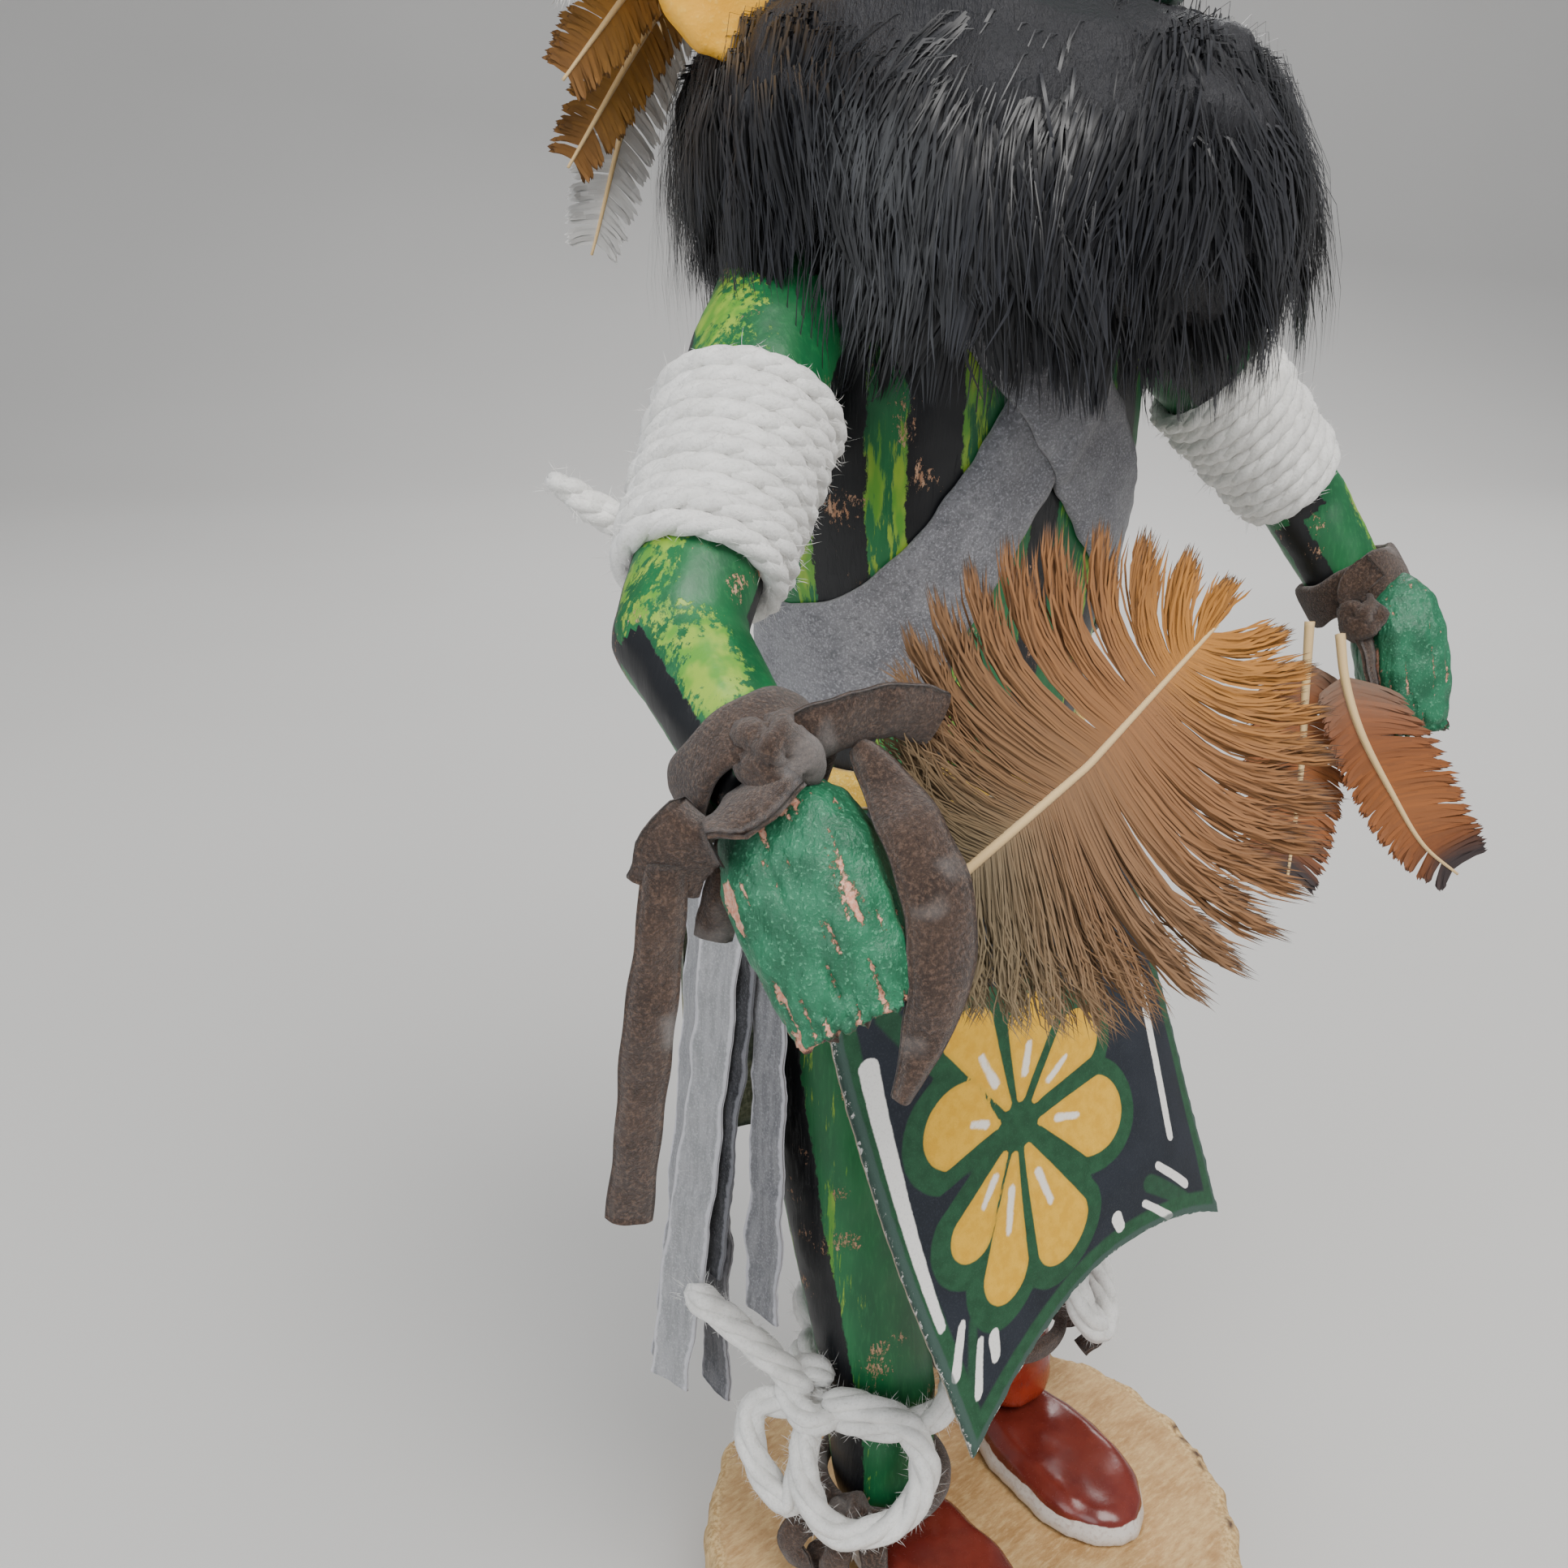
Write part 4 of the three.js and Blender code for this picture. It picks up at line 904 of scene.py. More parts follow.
def apron_paint():
    """Matt paint on leather: a yellow flower on navy with green outlines and white strokes."""
    f = Finish("painted_leather")
    fine = f.noise(0.28, 4, rough=0.7)
    soft = f.noise(1.6, 4)
    cloud = f.noise(8, 3)
    shake = (soft - 0.5) * 0.35 + (fine - 0.5) * 0.18
    navy = f.mix(cloud.above(0.5, 0.2), (0.008, 0.011, 0.017), (0.014, 0.018, 0.027))
    navy = f.mix(fine.above(0.58, 0.08) * 0.4, navy, (0.04, 0.047, 0.06))
    green = f.mix(soft.above(0.5, 0.2), (0.01, 0.055, 0.022), (0.017, 0.08, 0.034))
    green = f.mix(fine.above(0.6, 0.08) * 0.35, green, (0.045, 0.13, 0.07))
    yellow = f.mix(soft.above(0.5, 0.15), (0.68, 0.36, 0.02), (0.76, 0.43, 0.035))
    yellow = f.mix(fine.above(0.6, 0.08) * 0.45, yellow, (0.62, 0.34, 0.02))
    white = f.mix(fine.above(0.6, 0.1) * 0.6, (0.82, 0.8, 0.76), (0.6, 0.58, 0.55))
    color = f.mix((f.value("flower") + shake).below(0, 0.16), navy, green)
    color = f.mix((f.value("vein") + shake).below(0, 0.3) * 0.85, color, green)
    color = f.mix((f.value("edge") + shake).below(3.2, 0.25), color, green)
    petal = f.value("petal") + shake * 0.6
    color = f.mix(petal.below(0, 0.12), color, yellow)
    color = f.mix(petal.above(-0.45, 0.25).both(petal.below(-0.02, 0.1)) * 0.35, color, (0.5, 0.3, 0.03))
    color = f.mix((f.value("shine") + shake * 1.6).below(0, 0.22) * 0.9, color, (0.86, 0.83, 0.76))
    color = f.mix((f.value("stroke") + shake * 0.7).below(0, 0.1), color, white)
    rim = (f.value("edge") + shake * 1.5).below(1.25, 0.2)
    color = f.mix(rim * 0.8, color, (0.05, 0.085, 0.075))
    chips = (f.noise(0.9, 5, (1, 1, 0.6), 0.8) + f.value("edge").below(0.3, 0.35) * 0.11).above(0.66, 0.02)
    color = f.mix(chips.both(f.value("edge").below(0.5, 0.2)), color, (0.7, 0.69, 0.66))
    hide = f.mix(soft.above(0.5, 0.2), (0.3, 0.25, 0.19), (0.38, 0.33, 0.26))
    color = f.mix(f.value("back").above(0.5, 0.3), color, f.mix(fine, hide, (0.2, 0.16, 0.11)))
    f.bump(fine * 0.7 + soft * 0.5 - petal.above(0, 0.3) * 0.15, 0.12, 0.8)
    return f.done(color, fine * 0.2 + 0.55, specular_ior_level=0.35)


def apron():
    rows, columns = 145, 105
    t, s = np.meshgrid(np.linspace(0, 1, rows), np.linspace(-1, 1, columns), indexing="ij")
    face = apron_points(s, t)
    edge = np.minimum(near_edge(face, face[:, 0]), near_edge(face, face[:, -1]))
    edge = np.minimum(edge, near_edge(face, face[-1]))
    flat = np.stack([30 * s, 84 * t], axis=-1).reshape(-1, 2)
    petal, shine = petal_marks(flat)
    hub = np.linalg.norm(flat - HUB, axis=1) - HUB_RADIUS
    values = {
        "petal": petal, "flower": np.minimum(petal - 2.9, hub), "shine": shine,
        "stroke": np.min([from_stroke(flat, *stroke) for stroke in STROKES], axis=0),
        "vein": np.min([from_stroke(flat, *vein) for vein in VEINS], axis=0),
    }
    values = {key: value.reshape(rows, columns) for key, value in values.items()}
    wave = (field(face.reshape(-1, 3), 38, 61) * 0.3).reshape(rows, columns) * ramp(t, 0.2, 0.6)
    face[..., 1] += wave
    ragged = (field(face.reshape(-1, 3), 2.4, 62) * 0.09).reshape(rows, columns) * ramp(-edge, -1, 0)
    face[..., 0] += ragged * np.sign(s)
    face[..., 2] += ragged
    thick = 1.3 * (0.45 + 0.55 * ramp(edge, 0, 0.8))[..., None]
    out = np.array([0, -1.0, 0])
    middle = face + out * 0.65
    soup = Soup()
    sheet_into(soup, middle + out * thick / 2, middle - out * thick / 2, edge=edge, **values)
    piece = finish_piece(mesh_from("painted_apron", soup), apron_paint(), "apron", "apron_front")


def band_into(soup, line, width, across, seed, thick=0.9, curl=0.0):
    """A suede band along a line, its width lying across, slightly curled, waved and ragged."""
    count = max(int(length_of(smooth_line(line, 60)) / 0.7), 12)
    path = smooth_line(line, count)
    along = tangents(path)
    across = np.broadcast_to(np.array(across, float), along.shape)
    across = unit(across - along * (across * along).sum(-1, keepdims=True))
    front = np.cross(across, along)
    spread = np.linspace(-1, 1, 13)
    t = np.linspace(0, 1, count)
    wide = width(t) if callable(width) else np.full(count, float(width))
    half = wide / 2 * (1 + 0.05 * np.sin(t * 9 + seed) + 0.03 * np.sin(t * 31 + seed))
    middle = path[:, None] + across[:, None] * (spread[:, None] * half[:, None, None])
    middle = middle + front[:, None] * (curl * (spread**2)[:, None])
    flat = middle.reshape(-1, 3)
    lift = (field(flat, 9, seed) * 0.3 + field(flat, 3, seed + 1) * 0.08).reshape(count, -1, 1)
    middle = middle + front[:, None] * lift
    edge = (1 - np.abs(spread)) * wide[:, None] / 2
    fat = thick * (0.4 + 0.6 * ramp(edge, 0, 0.7))[..., None]
    sheet_into(soup, middle + front[:, None] * fat / 2, middle - front[:, None] * fat / 2, edge=edge)


def strip_suede(name, hues, rim):
    """Suede strip: streaked nap with lighter worn edges."""
    f = Finish(name)
    fibre = f.noise(0.35, 5, rough=0.75)
    streak = f.noise(1.1, 4, (1, 1, 0.12), 0.7)
    color = f.mix(streak.above(0.5, 0.12), hues[0], hues[1])
    color = f.mix(fibre.above(0.57, 0.07) * 0.6, color, hues[2])
    edge = (f.value("edge") + (f.noise(1.2, 4) - 0.5) * 0.9).below(0.55, 0.2)
    color = f.mix(edge * 0.75, color, rim)
    f.bump(fibre * 0.6 + streak * 0.5, 0.25, 0.8)
    return f.done(color, 0.9, sheen_weight=0.25, specular_ior_level=0.2)


STRIPS = [
    ("strip_pale", -27.5, 24.5, 51, (-11.5, 1.5), 7, ((0.26, 0.265, 0.27), (0.34, 0.34, 0.35), (0.5, 0.5,
        0.52)),
     (0.62, 0.61, 0.64), "light_strip"),
    ("strip_black", -26.3, 22, 70, (-7, 1.5), 6, ((0.012, 0.013, 0.016), (0.03, 0.03, 0.035), (0.1, 0.1,
        0.11)),
     (0.2, 0.2, 0.22), "dark_strip"),
    ("strip_grey", -24.8, 18.5, 66, (-5.5, -4), 7, ((0.13, 0.13, 0.14), (0.2, 0.2, 0.21), (0.36, 0.36, 0.38)),
     (0.55, 0.54, 0.58), "grey_strip"),
    ("strip_dark", -26.4, 27.5, 44, (-3.5, -1), 7.5, ((0.06, 0.062, 0.07), (0.11, 0.11, 0.12), (0.22, 0.22,
        0.24)),
     (0.4, 0.39, 0.42), "grey_strip"),
    ("strip_thin", -27.2, 31, 49, (-9, 1), 5, ((0.24, 0.24, 0.25), (0.32, 0.32, 0.33), (0.48, 0.48, 0.5)),
     (0.7, 0.68, 0.74), "light_strip"),
]


def strips():
    for i, (node, x, y, low, (dx, dy), width, hues, rim, slot) in enumerate(STRIPS):
        top = 146
        line = [(x + 3, y, top), (x, y, top - 14), (x + dx * 0.35, y + dy * 0.4, (top + low) / 2), (x + dx,
            y + dy, low)]
        soup = Soup()
        band_into(soup, line, width, (-0.25 + 0.12 * i, 1, 0), 70 + 3 * i, curl=0.25)
        paint = strip_suede(f"suede_{node}", hues, rim)
        finish_piece(mesh_from(f"hung_{node}", soup), paint, slot, node)


def back_cloth():
    """Coarse olive-grey cloth with woven stripes, hung behind the legs."""
    f = Finish("striped_weave")
    weave = f.noise(0.45, 3, (1, 1, 0.3), 0.6) * 0.5 + f.noise(0.45, 3, (0.25, 1, 1), 0.6) * 0.5
    base = f.mix(weave.above(0.5, 0.1), (0.16, 0.16, 0.1), (0.3, 0.3, 0.2))
    row = f.axis(2) * 0.42
    band = row.math("SINE").above(0.35, 0.25)
    base = f.mix(band * 0.7, base, f.mix(weave.above(0.5, 0.1), (0.07, 0.09, 0.075), (0.13, 0.15, 0.12)))
    f.bump(weave, 0.35, 0.9)
    paint = f.done(base, 0.92, sheen_weight=0.2, specular_ior_level=0.2)
    line = smooth_line([(MID_X, 39.6, 146.5), (MID_X, 41.2, 122), (MID_X, 39.5, 100), (MID_X, 36.5, 80)], 60)
    t = np.linspace(0, 1, 60)[:, None]
    s = np.linspace(-1, 1, 50)[None, :]
    middle = line[:, None] + np.zeros((1, 50, 1))
    middle[..., 0] += s * (25 + 4 * t)
    fold = 1.1 * np.sin(s * 6 + 0.5) + 0.7 * np.sin(s * 11 + 2 * t + 1)
    middle[..., 1] += fold * t * 0.9 - 0.3
    middle[..., 2] += 0.5 * np.sin(s * 7) * t
    half = 0.4 * np.array([0, -1.0, 0])
    soup = Soup()
    sheet_into(soup, middle + half, middle - half)
    piece = finish_piece(mesh_from("woven_back_cloth", soup), paint, "cloth", "back_cloth")


apron()
strips()
back_cloth()

# ---------------------------------------------------------------- yarn, cord and laces


def twisted_into(soup, line, radius, plies, turn, spread=0.52, step=0.8):
    """A plied cord along a line: radius is its own, turn the length of one full twist, and
    spread how far the plies stand apart."""
    path = smooth_line(line, max(int(length_of(smooth_line(line, 80)) / step), 10))
    _, side, front = frames(path, UP if abs(tangents(path)[0][2]) < 0.9 else np.array([0, 1.0, 0]))
    run = np.linspace(0, length_of(path), len(path))
    ends = ramp(run, -1, 2.5) * ramp(run[-1] - run, -1, 2.5)
    for k in range(plies):
        angle = run / turn * 2 * np.pi + k * 2 * np.pi / plies
        off = np.cos(angle)[:, None] * side + np.sin(angle)[:, None] * front
        strand = path + off * (radius * spread * ends)[:, None]
        fat = radius * (1.04 - spread + 0.03 * np.sin(run * 1.3 + k)) * (0.55 + 0.45 * ends)
        tube_into(soup, strand, fat, 6, off[0])
    return path


def stray_fibres(soup, paths, radius, count, length, seed, width=0.045):
    """Fine curled fibres standing off cords."""
    rng = np.random.default_rng(seed)
    points = np.vstack(paths)
    along = np.vstack([tangents(p) for p in paths])
    pick = rng.integers(0, len(points), count)
    out = rng.normal(size=(count, 3))
    out = unit(out - along[pick] * (out * along[pick]).sum(-1, keepdims=True))
    way = unit(along[pick] * rng.uniform(-1, 1, (count, 1)) + out * 0.25)
    reach = length * rng.uniform(0.4, 1.3, (count, 1, 1))
    t = np.linspace(0, 1, 4)[None, :, None]
    root = (points[pick] + out * radius * 0.85)[:, None]
    bend = unit(rng.normal(size=(count, 3)))[:, None]
    lines = root + way[:, None] * reach * t + out[:, None] * reach * 0.12 * t**2 + bend * reach * 0.3 * t**2
    ribbons_into(soup, lines, unit(np.cross(way, bend[:, 0]))[:, None], width)


def wool():
    f = Finish("white_wool")
    fibre = f.noise(0.4, 4, rough=0.7)
    soft = f.noise(3, 3)
    color = f.mix(soft.above(0.5, 0.2), (0.84, 0.83, 0.8), (0.72, 0.71, 0.68))
    color = f.mix(fibre.below(0.42, 0.08) * 0.4, color, (0.5, 0.49, 0.46))
    f.bump(fibre, 0.2, 0.8)
    return f.done(color, 0.95, sheen_weight=0.5, specular_ior_level=0.2)


WOOL = wool()
WRAPS = {
    "right": ((0.19, 0.8), (10.1, 8.8), [(-51, 3, 184.6), (-57.4, 7.8, 188.6), (-62, 8.2, 191.5)]),
    "left": ((0.24, 0.88), (9.5, 8), [(56, 8, 182), (60, 13, 185), (63, 16, 188)]),
}


def yarn_wrap(side):
    span, radii, tail = WRAPS[side]
    a, b = (np.array(ARMS[side][k], float) for k in (1, 2))
    along = unit(b - a)
    across = unit(np.cross([1.0, 0, 0], along))
    third = np.cross(along, across)
    turns = 10
    u = np.linspace(0, 1, turns * 90)[:, None]
    angle = u * turns * 2 * np.pi
    radius = radii[0] + (radii[1] - radii[0]) * u - 0.85 + 0.25 * np.sin(angle * 0.37 + 1)
    t = span[0] + (span[1] - span[0]) * u
    helix = a + (b - a) * t + radius * (np.cos(angle) * across + np.sin(angle) * third)
    soup = Soup()
    paths = [twisted_into(soup, helix[::6], 1.4, 3, 9, 0.3), twisted_into(soup, tail, 1.5, 3, 9, 0.36)]
    paths.append(twisted_into(soup, np.array(tail) + (1.5, -1, -2), 1.4, 3, 9, 0.36))
    stray_fibres(soup, paths, 1.3, 4500, 1.5, 31)
    finish_piece(mesh_from(f"wound_yarn_{side}", soup), WOOL, "yarn", f"yarn_wrap_{side}")


def mirrored(points, shift):
    return np.array(points, float) * (-1, 1, 1) + (2 * MID_X, 0, 0) + np.array(shift)


CORD_TIE = {
    "tail": [(-24.6, 11, 51), (-31.8, 16.2, 61.8), (-38.6, 20.8, 71)],
    "back": [(-12, 22.5, 47), (-12.8, 24.6, 51), (-12.6, 26, 55)],
    "first": [(-24, 8, 51), (-19.5, 2.5, 50.6), (-15.6, -1.5, 47.5), (-15.2, -4.6, 41), (-20, -4.4, 35),
              (-27.4, 0.6, 33.6), (-29.6, 5.4, 39.5), (-27.4, 8.6, 47)],
    "second": [(-25.5, 10, 50), (-30.6, 15.8, 48.6), (-32.4, 14.6, 42.4), (-30.6, 8.6, 35.2), (-28.6, 7.6,
        41),
               (-26.4, 9, 48)],
    "knot": [(-22.6, 6.5, 48.4), (-26.8, 8.6, 49), (-27, 12.4, 51.6), (-24, 12.8, 54), (-21.4, 9.4, 52.6)],
}
CORD_RINGS = {"right": ((-10.9, 10.5, 46.8), 11.9, -0.12), "left": ((18.3, 14.2, 55), 12.2, 0.12)}


def leg_cord(side):
    centre, radius, tilt = CORD_RINGS[side]
    angle = np.linspace(0, 2 * np.pi, 50)
    ring = np.stack([np.cos(angle), np.sin(angle), tilt * np.cos(angle)], axis=1) * (radius, radius, radius)
    soup = Soup()
    paths = [twisted_into(soup, ring + centre, CORD / 2, 4, 26)]
    for points in CORD_TIE.values():
        points = points if side == "right" else mirrored(points, (0.6, 1.6, 8))
        paths.append(twisted_into(soup, points, CORD / 2, 4, 26))
    stray_fibres(soup, paths, 2.2, 4500, 1.7, 33)
    finish_piece(mesh_from(f"white_leg_cord_{side}", soup), WOOL, "yarn", f"leg_cord_{side}")


def lump_into(soup, centre, radius, seed):
    """A crumpled rounded lump, for a pulled knot."""
    u, w = np.meshgrid(np.linspace(0.02, np.pi - 0.02, 22), np.arange(30) / 30 * 2 * np.pi, indexing="ij")
    ball = np.stack([np.sin(u) * np.cos(w), np.sin(u) * np.sin(w), np.cos(u)], axis=-1)
    flat = ball.reshape(-1, 3)
    bumps = 1 + 0.13 * field(flat, 1.3, seed) - 0.2 * np.exp(-((field(flat, 1.6, seed + 1) / 0.22) ** 2))
    rings_into(soup, np.array(centre) + ball * radius * bumps.reshape(22, 30, 1), edge=2.0, back=0.0)


def cuff_into(soup, start, end, inner, thick, seed):
    """A suede band wound once round a wrist or a boot."""
    start, end = np.array(start, float), np.array(end, float)
    along = unit(end - start)
    side = unit(np.cross(along, [0.0, 1.0, 0.3]))
    third = np.cross(along, side)
    angle = np.arange(80) / 80 * 2 * np.pi
    out = np.cos(angle)[:, None] * side + np.sin(angle)[:, None] * third
    turn = np.linspace(0, 2 * np.pi, 14, endpoint=False)
    middle, half = (start + end) / 2, np.linalg.norm(end - start) / 2
    wobble = 1 + 0.08 * np.sin(angle * 3 + seed)[:, None] + 0.05 * np.sin(angle * 7 + seed)[:, None]
    long = np.sign(np.cos(turn)) * np.abs(np.cos(turn)) ** 0.5 * half * wobble
    far = inner + thick / 2 + np.sign(np.sin(turn)) * np.abs(np.sin(turn)) ** 0.7 * thick / 2 + 0 * long
    rings = middle + out[:, None] * far[..., None] + along * long[..., None]
    edge = half - np.abs(long)
    soup.add(rings.reshape(-1, 3), grid_faces(80, 14, wrap=True, loop=True), edge=edge.ravel(), back=0.0)


def lace_suede():
    """Fuzzy brown suede with grey worn patches near its edges."""
    f = Finish("brown_lace")
    fibre = f.noise(0.4, 5, rough=0.8)
    cloud = f.noise(5, 3)
    color = f.mix(cloud.above(0.5, 0.15), (0.035, 0.018, 0.011), (0.06, 0.033, 0.021))
    color = f.mix(fibre.above(0.55, 0.06) * 0.8, color, (0.15, 0.09, 0.06))
    color = f.mix(fibre.below(0.4, 0.05) * 0.7, color, (0.012, 0.006, 0.004))
    grey = f.noise(9, 2).above(0.66, 0.06)
    color = f.mix(grey * 0.6, color, f.mix(fibre, (0.14, 0.125, 0.12), (0.34, 0.31, 0.29)))
    f.bump(fibre, 0.35, 1.0)
    return f.done(color, 0.95, sheen_weight=0.3, specular_ior_level=0.15)


LACE = lace_suede()
LACES = {
    "wrist_tie_right": {
        "cuffs": [((-59.7, -18.6, 170.4), (-60.1, -23.6, 167.6), 6.3, 1.5)],
        "lumps": [((-61.5, -26.5, 172), 4)],
        "bands": [
            ([(-61, -26, 172.2), (-56, -29, 174.6), (-51.5, -31, 175.2), (-47.4, -32.4, 173.8)], 5.5, (0.2,
                -0.3, 1)),
            ([(-62, -28, 171.5), (-66.5, -27, 168.4), (-70.6, -24.2, 165), (-71.8, -23, 161)], 7, (0.65,
                -0.5, 0.5)),
            ([(-71.8, -23.4, 163.6), (-73.2, -24.2, 157), (-74.8, -24, 147), (-75.8, -23.4, 137),
              (-76.7, -22.5, 127.2)], 4.6, (0.8, -0.6, 0.1)),
            ([(-63, -25, 168), (-65, -24.2, 162.6), (-66.8, -23.6, 154.4)], 3.6, (0.8, -0.6, 0)),
            ([(-55, -30, 172.6), (-54.6, -33.4, 169.8), (-55.2, -38, 166.2), (-55.6, -41.4, 161.4),
              (-56.6, -43, 155.6), (-58.6, -43, 149), (-60.7, -42.6, 143.9)],
             lambda t: 1.8 + 4.8 * np.sin(np.pi * t**0.8), (0.8, -0.5, 0.2)),
        ],
    },
    "wrist_tie_left": {
        "cuffs": [((62.9, -6.4, 165.4), (64, -9.8, 160.2), 6.2, 1.5)],
        "lumps": [((57, -14, 160), 3.4)],
        "bands": [
            ([(57, -14, 160), (57.6, -17, 152), (58.2, -20.5, 142), (57.4, -23.4, 130)], 4.6, (0.8, 0.2, 0)),
            ([(57, -13, 161), (55, -13, 165), (57, -15, 168)], 4, (0.5, -0.8, 0.2)),
        ],
    },
    "boot_tie_right": {
        "cuffs": [((-12.6, 6.9, 32.9), (-12.6, 6.9, 29.9), 8.6, 2)],
        "lumps": [((-22.5, 3.4, 31.6), 3.2)],
        "bands": [
            ([(-23, 4, 31), (-28.6, 6.6, 32), (-31.4, 7.4, 28), (-29, 5.6, 24.6), (-25, 3.6, 27)], 4.4,
                (0.5, -0.8, 0.1)),
            ([(-22.5, 2.6, 31), (-27, 0.8, 31), (-29, 0, 26.6), (-25.4, -0.6, 24)], 4.4, (0.5, -0.8, 0.1)),
            ([(-21.6, 1.2, 31.4), (-23.2, -2.2, 30), (-24.4, -4.4, 25.4)], 4, (0.7, -0.5, 0.1)),
        ],
    },
    "boot_tie_left": {
        "cuffs": [((18.2, 11.8, 43.1), (18.2, 11.8, 40.1), 9.4, 2)],
        "lumps": [((28.2, 6.6, 41.6), 3.2)],
        "bands": [
            ([(28, 7, 41.4), (32.6, 9, 42.4), (34.4, 9, 37), (30.4, 6.8, 35.4)], 4.2, (0.7, 0.6, 0.1)),
            ([(28, 6, 41), (31.6, 2.4, 40.6), (32.6, 1.6, 35.6), (29.4, 2.6, 33.6)], 4.2, (0.7, 0.6, 0.1)),
            ([(28, 9, 41), (30.6, 14, 36), (31.6, 15.6, 27)], 4.2, (0.7, 0.6, 0.1)),
        ],
    },
}


def laces(node, parts):
    soup = Soup()
    for k, cuff in enumerate(parts["cuffs"]):
        cuff_into(soup, *cuff, 40 + k)
    for k, (centre, radius) in enumerate(parts["lumps"]):
        lump_into(soup, centre, radius, 44 + k)
    for k, (line, width, across) in enumerate(parts["bands"]):
        band_into(soup, line, width, across, 50 + 2 * k, thick=1.4, curl=0.5)
    finish_piece(mesh_from(f"suede_{node}", soup), LACE, "lace", node)


for side in ("right", "left"):
    yarn_wrap(side)
    leg_cord(side)
for node, parts in LACES.items():
    laces(node, parts)

# ---------------------------------------------------------------- feathers


def barbs_into(soup, roots, tips, bow, normal, rng, width, points=6, wave=0.0, spray=0.6, **values):
    """Barbs from the quill to their tips, bowed sideways; wave makes them downy."""
    t = np.linspace(0, 1, points)[None, :, None]
    side = unit(np.cross(tips - roots, normal))[:, None]
    normal = np.broadcast_to(normal, roots.shape)[:, None]
    lines = roots[:, None] + (tips - roots)[:, None] * t + bow[:, None] * (4 * t * (1 - t))
    lift = normal * rng.normal(size=(len(roots), 1, 1)) * spray
    lines = lines + lift * t**1.5
    phase = rng.uniform(0, 6.28, (len(roots), 1, 1))
    lines = lines + side * (np.sin(t * 7 + phase) * wave * t) + normal * (np.cos(t * 5 + phase) * wave * t)
    ribbons_into(soup, lines, side, width, out=np.broadcast_to(t[0, :, 0], lines.shape[:2]), **values)


def feather_paint(name, hues, tip, tip_at=0.9, across_tip=2.0):
    """Barbs coloured along the quill by four hues, with darker ends."""
    f = Finish(name)
    fine = f.noise(0.8, 4, rough=0.7)
    u = f.value("along") + (fine - 0.5) * 0.12
    color = f.mix(u.above(0.2, 0.15), hues[0], hues[1])
    color = f.mix(u.above(0.5, 0.15), color, hues[2])
    color = f.mix(u.above(0.8, 0.12), color, hues[3])
    color = f.mix(f.value("shade") * 0.55, color, f.mix(0.5, color, (0.04, 0.025, 0.015)))
    color = f.mix(f.value("out").above(tip_at, 0.06).both(f.value("along").above(0.3, 0.2)), color, tip)
    color = f.mix(f.value("along").above(across_tip, 0.04), color, tip)
    color = f.mix(f.value("quill").above(0.5, 0.2), color, (0.66, 0.46, 0.22))
    return f.done(color, 0.6, sheen_weight=0.25, specular_ior_level=0.3)


def plumage(name, node, line, left, right, facing, paint, slot, seed, downy=False, count=160):
    """A feather on a bowed quill: its vane opens past the bare quill and closes at the tip."""
    rng = np.random.default_rng(seed)
    path = smooth_line(line, 160)
    along = tangents(path)
    side = unit(np.cross(along, np.array(facing, float)))
    front = unit(np.cross(side, along))
    long = length_of(path)
    soup = Soup()
    u = np.linspace(0, 1, 160)
    tube_into(soup, path[::3], 0.75 * (1 - 0.75 * u[::3]), 7, front[0], quill=1.0, along=u[::3], shade=0.0,
        out=0.0)
    for sign, wide in ((-1, left), (1, right)):
        for layer in range(2):
            r = np.sort(rng.uniform(0.1 if downy else 0.16, 0.97, count))
            clump = np.round(r * 17 + rng.normal(size=count) * 0.08) / 17
            open_ = np.sin(np.pi * np.clip(0.14 + 0.72 * r, 0, 0.97)) ** 0.7
            root = np.stack([np.interp(r, u, path[:, k]) for k in range(3)], axis=1)
            at = (r * 159).astype(int)
            pull = (r * 0.55 + clump * 0.45)
            ahead = np.clip(pull + (0.2 + 0.1 * (1 - r)) * wide * 1.6 / long, 0, 1.03)
            tip = np.stack([np.interp(ahead, u, path[:, k]) for k in range(3)], axis=1)
            tip += along[-1] * (np.maximum(ahead - 1, 0) * long)[:, None]
            reach = wide * open_ * rng.uniform(0.86, 1.06, count)
            tip = tip + side[at] * (sign * reach)[:, None] - front[at] * (0.02 * reach**2)[:, None]
            bow = side[at] * (sign * reach * 0.12)[:, None]
            shade = rng.uniform(0, 1, count)
            barbs_into(soup, root, tip, bow, front[at], rng, 0.5 if not downy else 0.22,
                       wave=0.9 if downy else 0.12, spray=1.6 if downy else 0.35, along=r,
                       shade=shade, quill=0.0)
    return finish_piece(mesh_from(name, soup), paint, slot, node)


FAN_BASE = np.array([-47.7, -36, 159.3])
FAN_ALONG, FAN_TOWARDS = unit(np.array([0.734, -0.241, 0.635])), unit(np.array([-0.6, -0.67, 0.44]))
FAN_UP = np.cross(FAN_TOWARDS, FAN_ALONG)
FAN_QUILL = [(-19, 6), (-10, 1.5), (0, 0), (16, -1), (34, 0)]
# Each side of the vane ends on an arc round the quill: centre, radii and the angle it starts at.
FAN_ARCS = {"upper": ((18.5, 0), (20, 21), 162), "lower": ((14.5, -3), (24, 21.5), -165)}


def fan_edge(side, share):
    """Points on one side's arc, share 0 at the quill's base and 1 at the feather's tip."""
    centre, radii, start = FAN_ARCS[side]
    angle = np.radians(start * (1 - share))
    return np.array(centre) + np.array(radii) * np.stack([np.cos(angle), np.sin(angle)], axis=1)


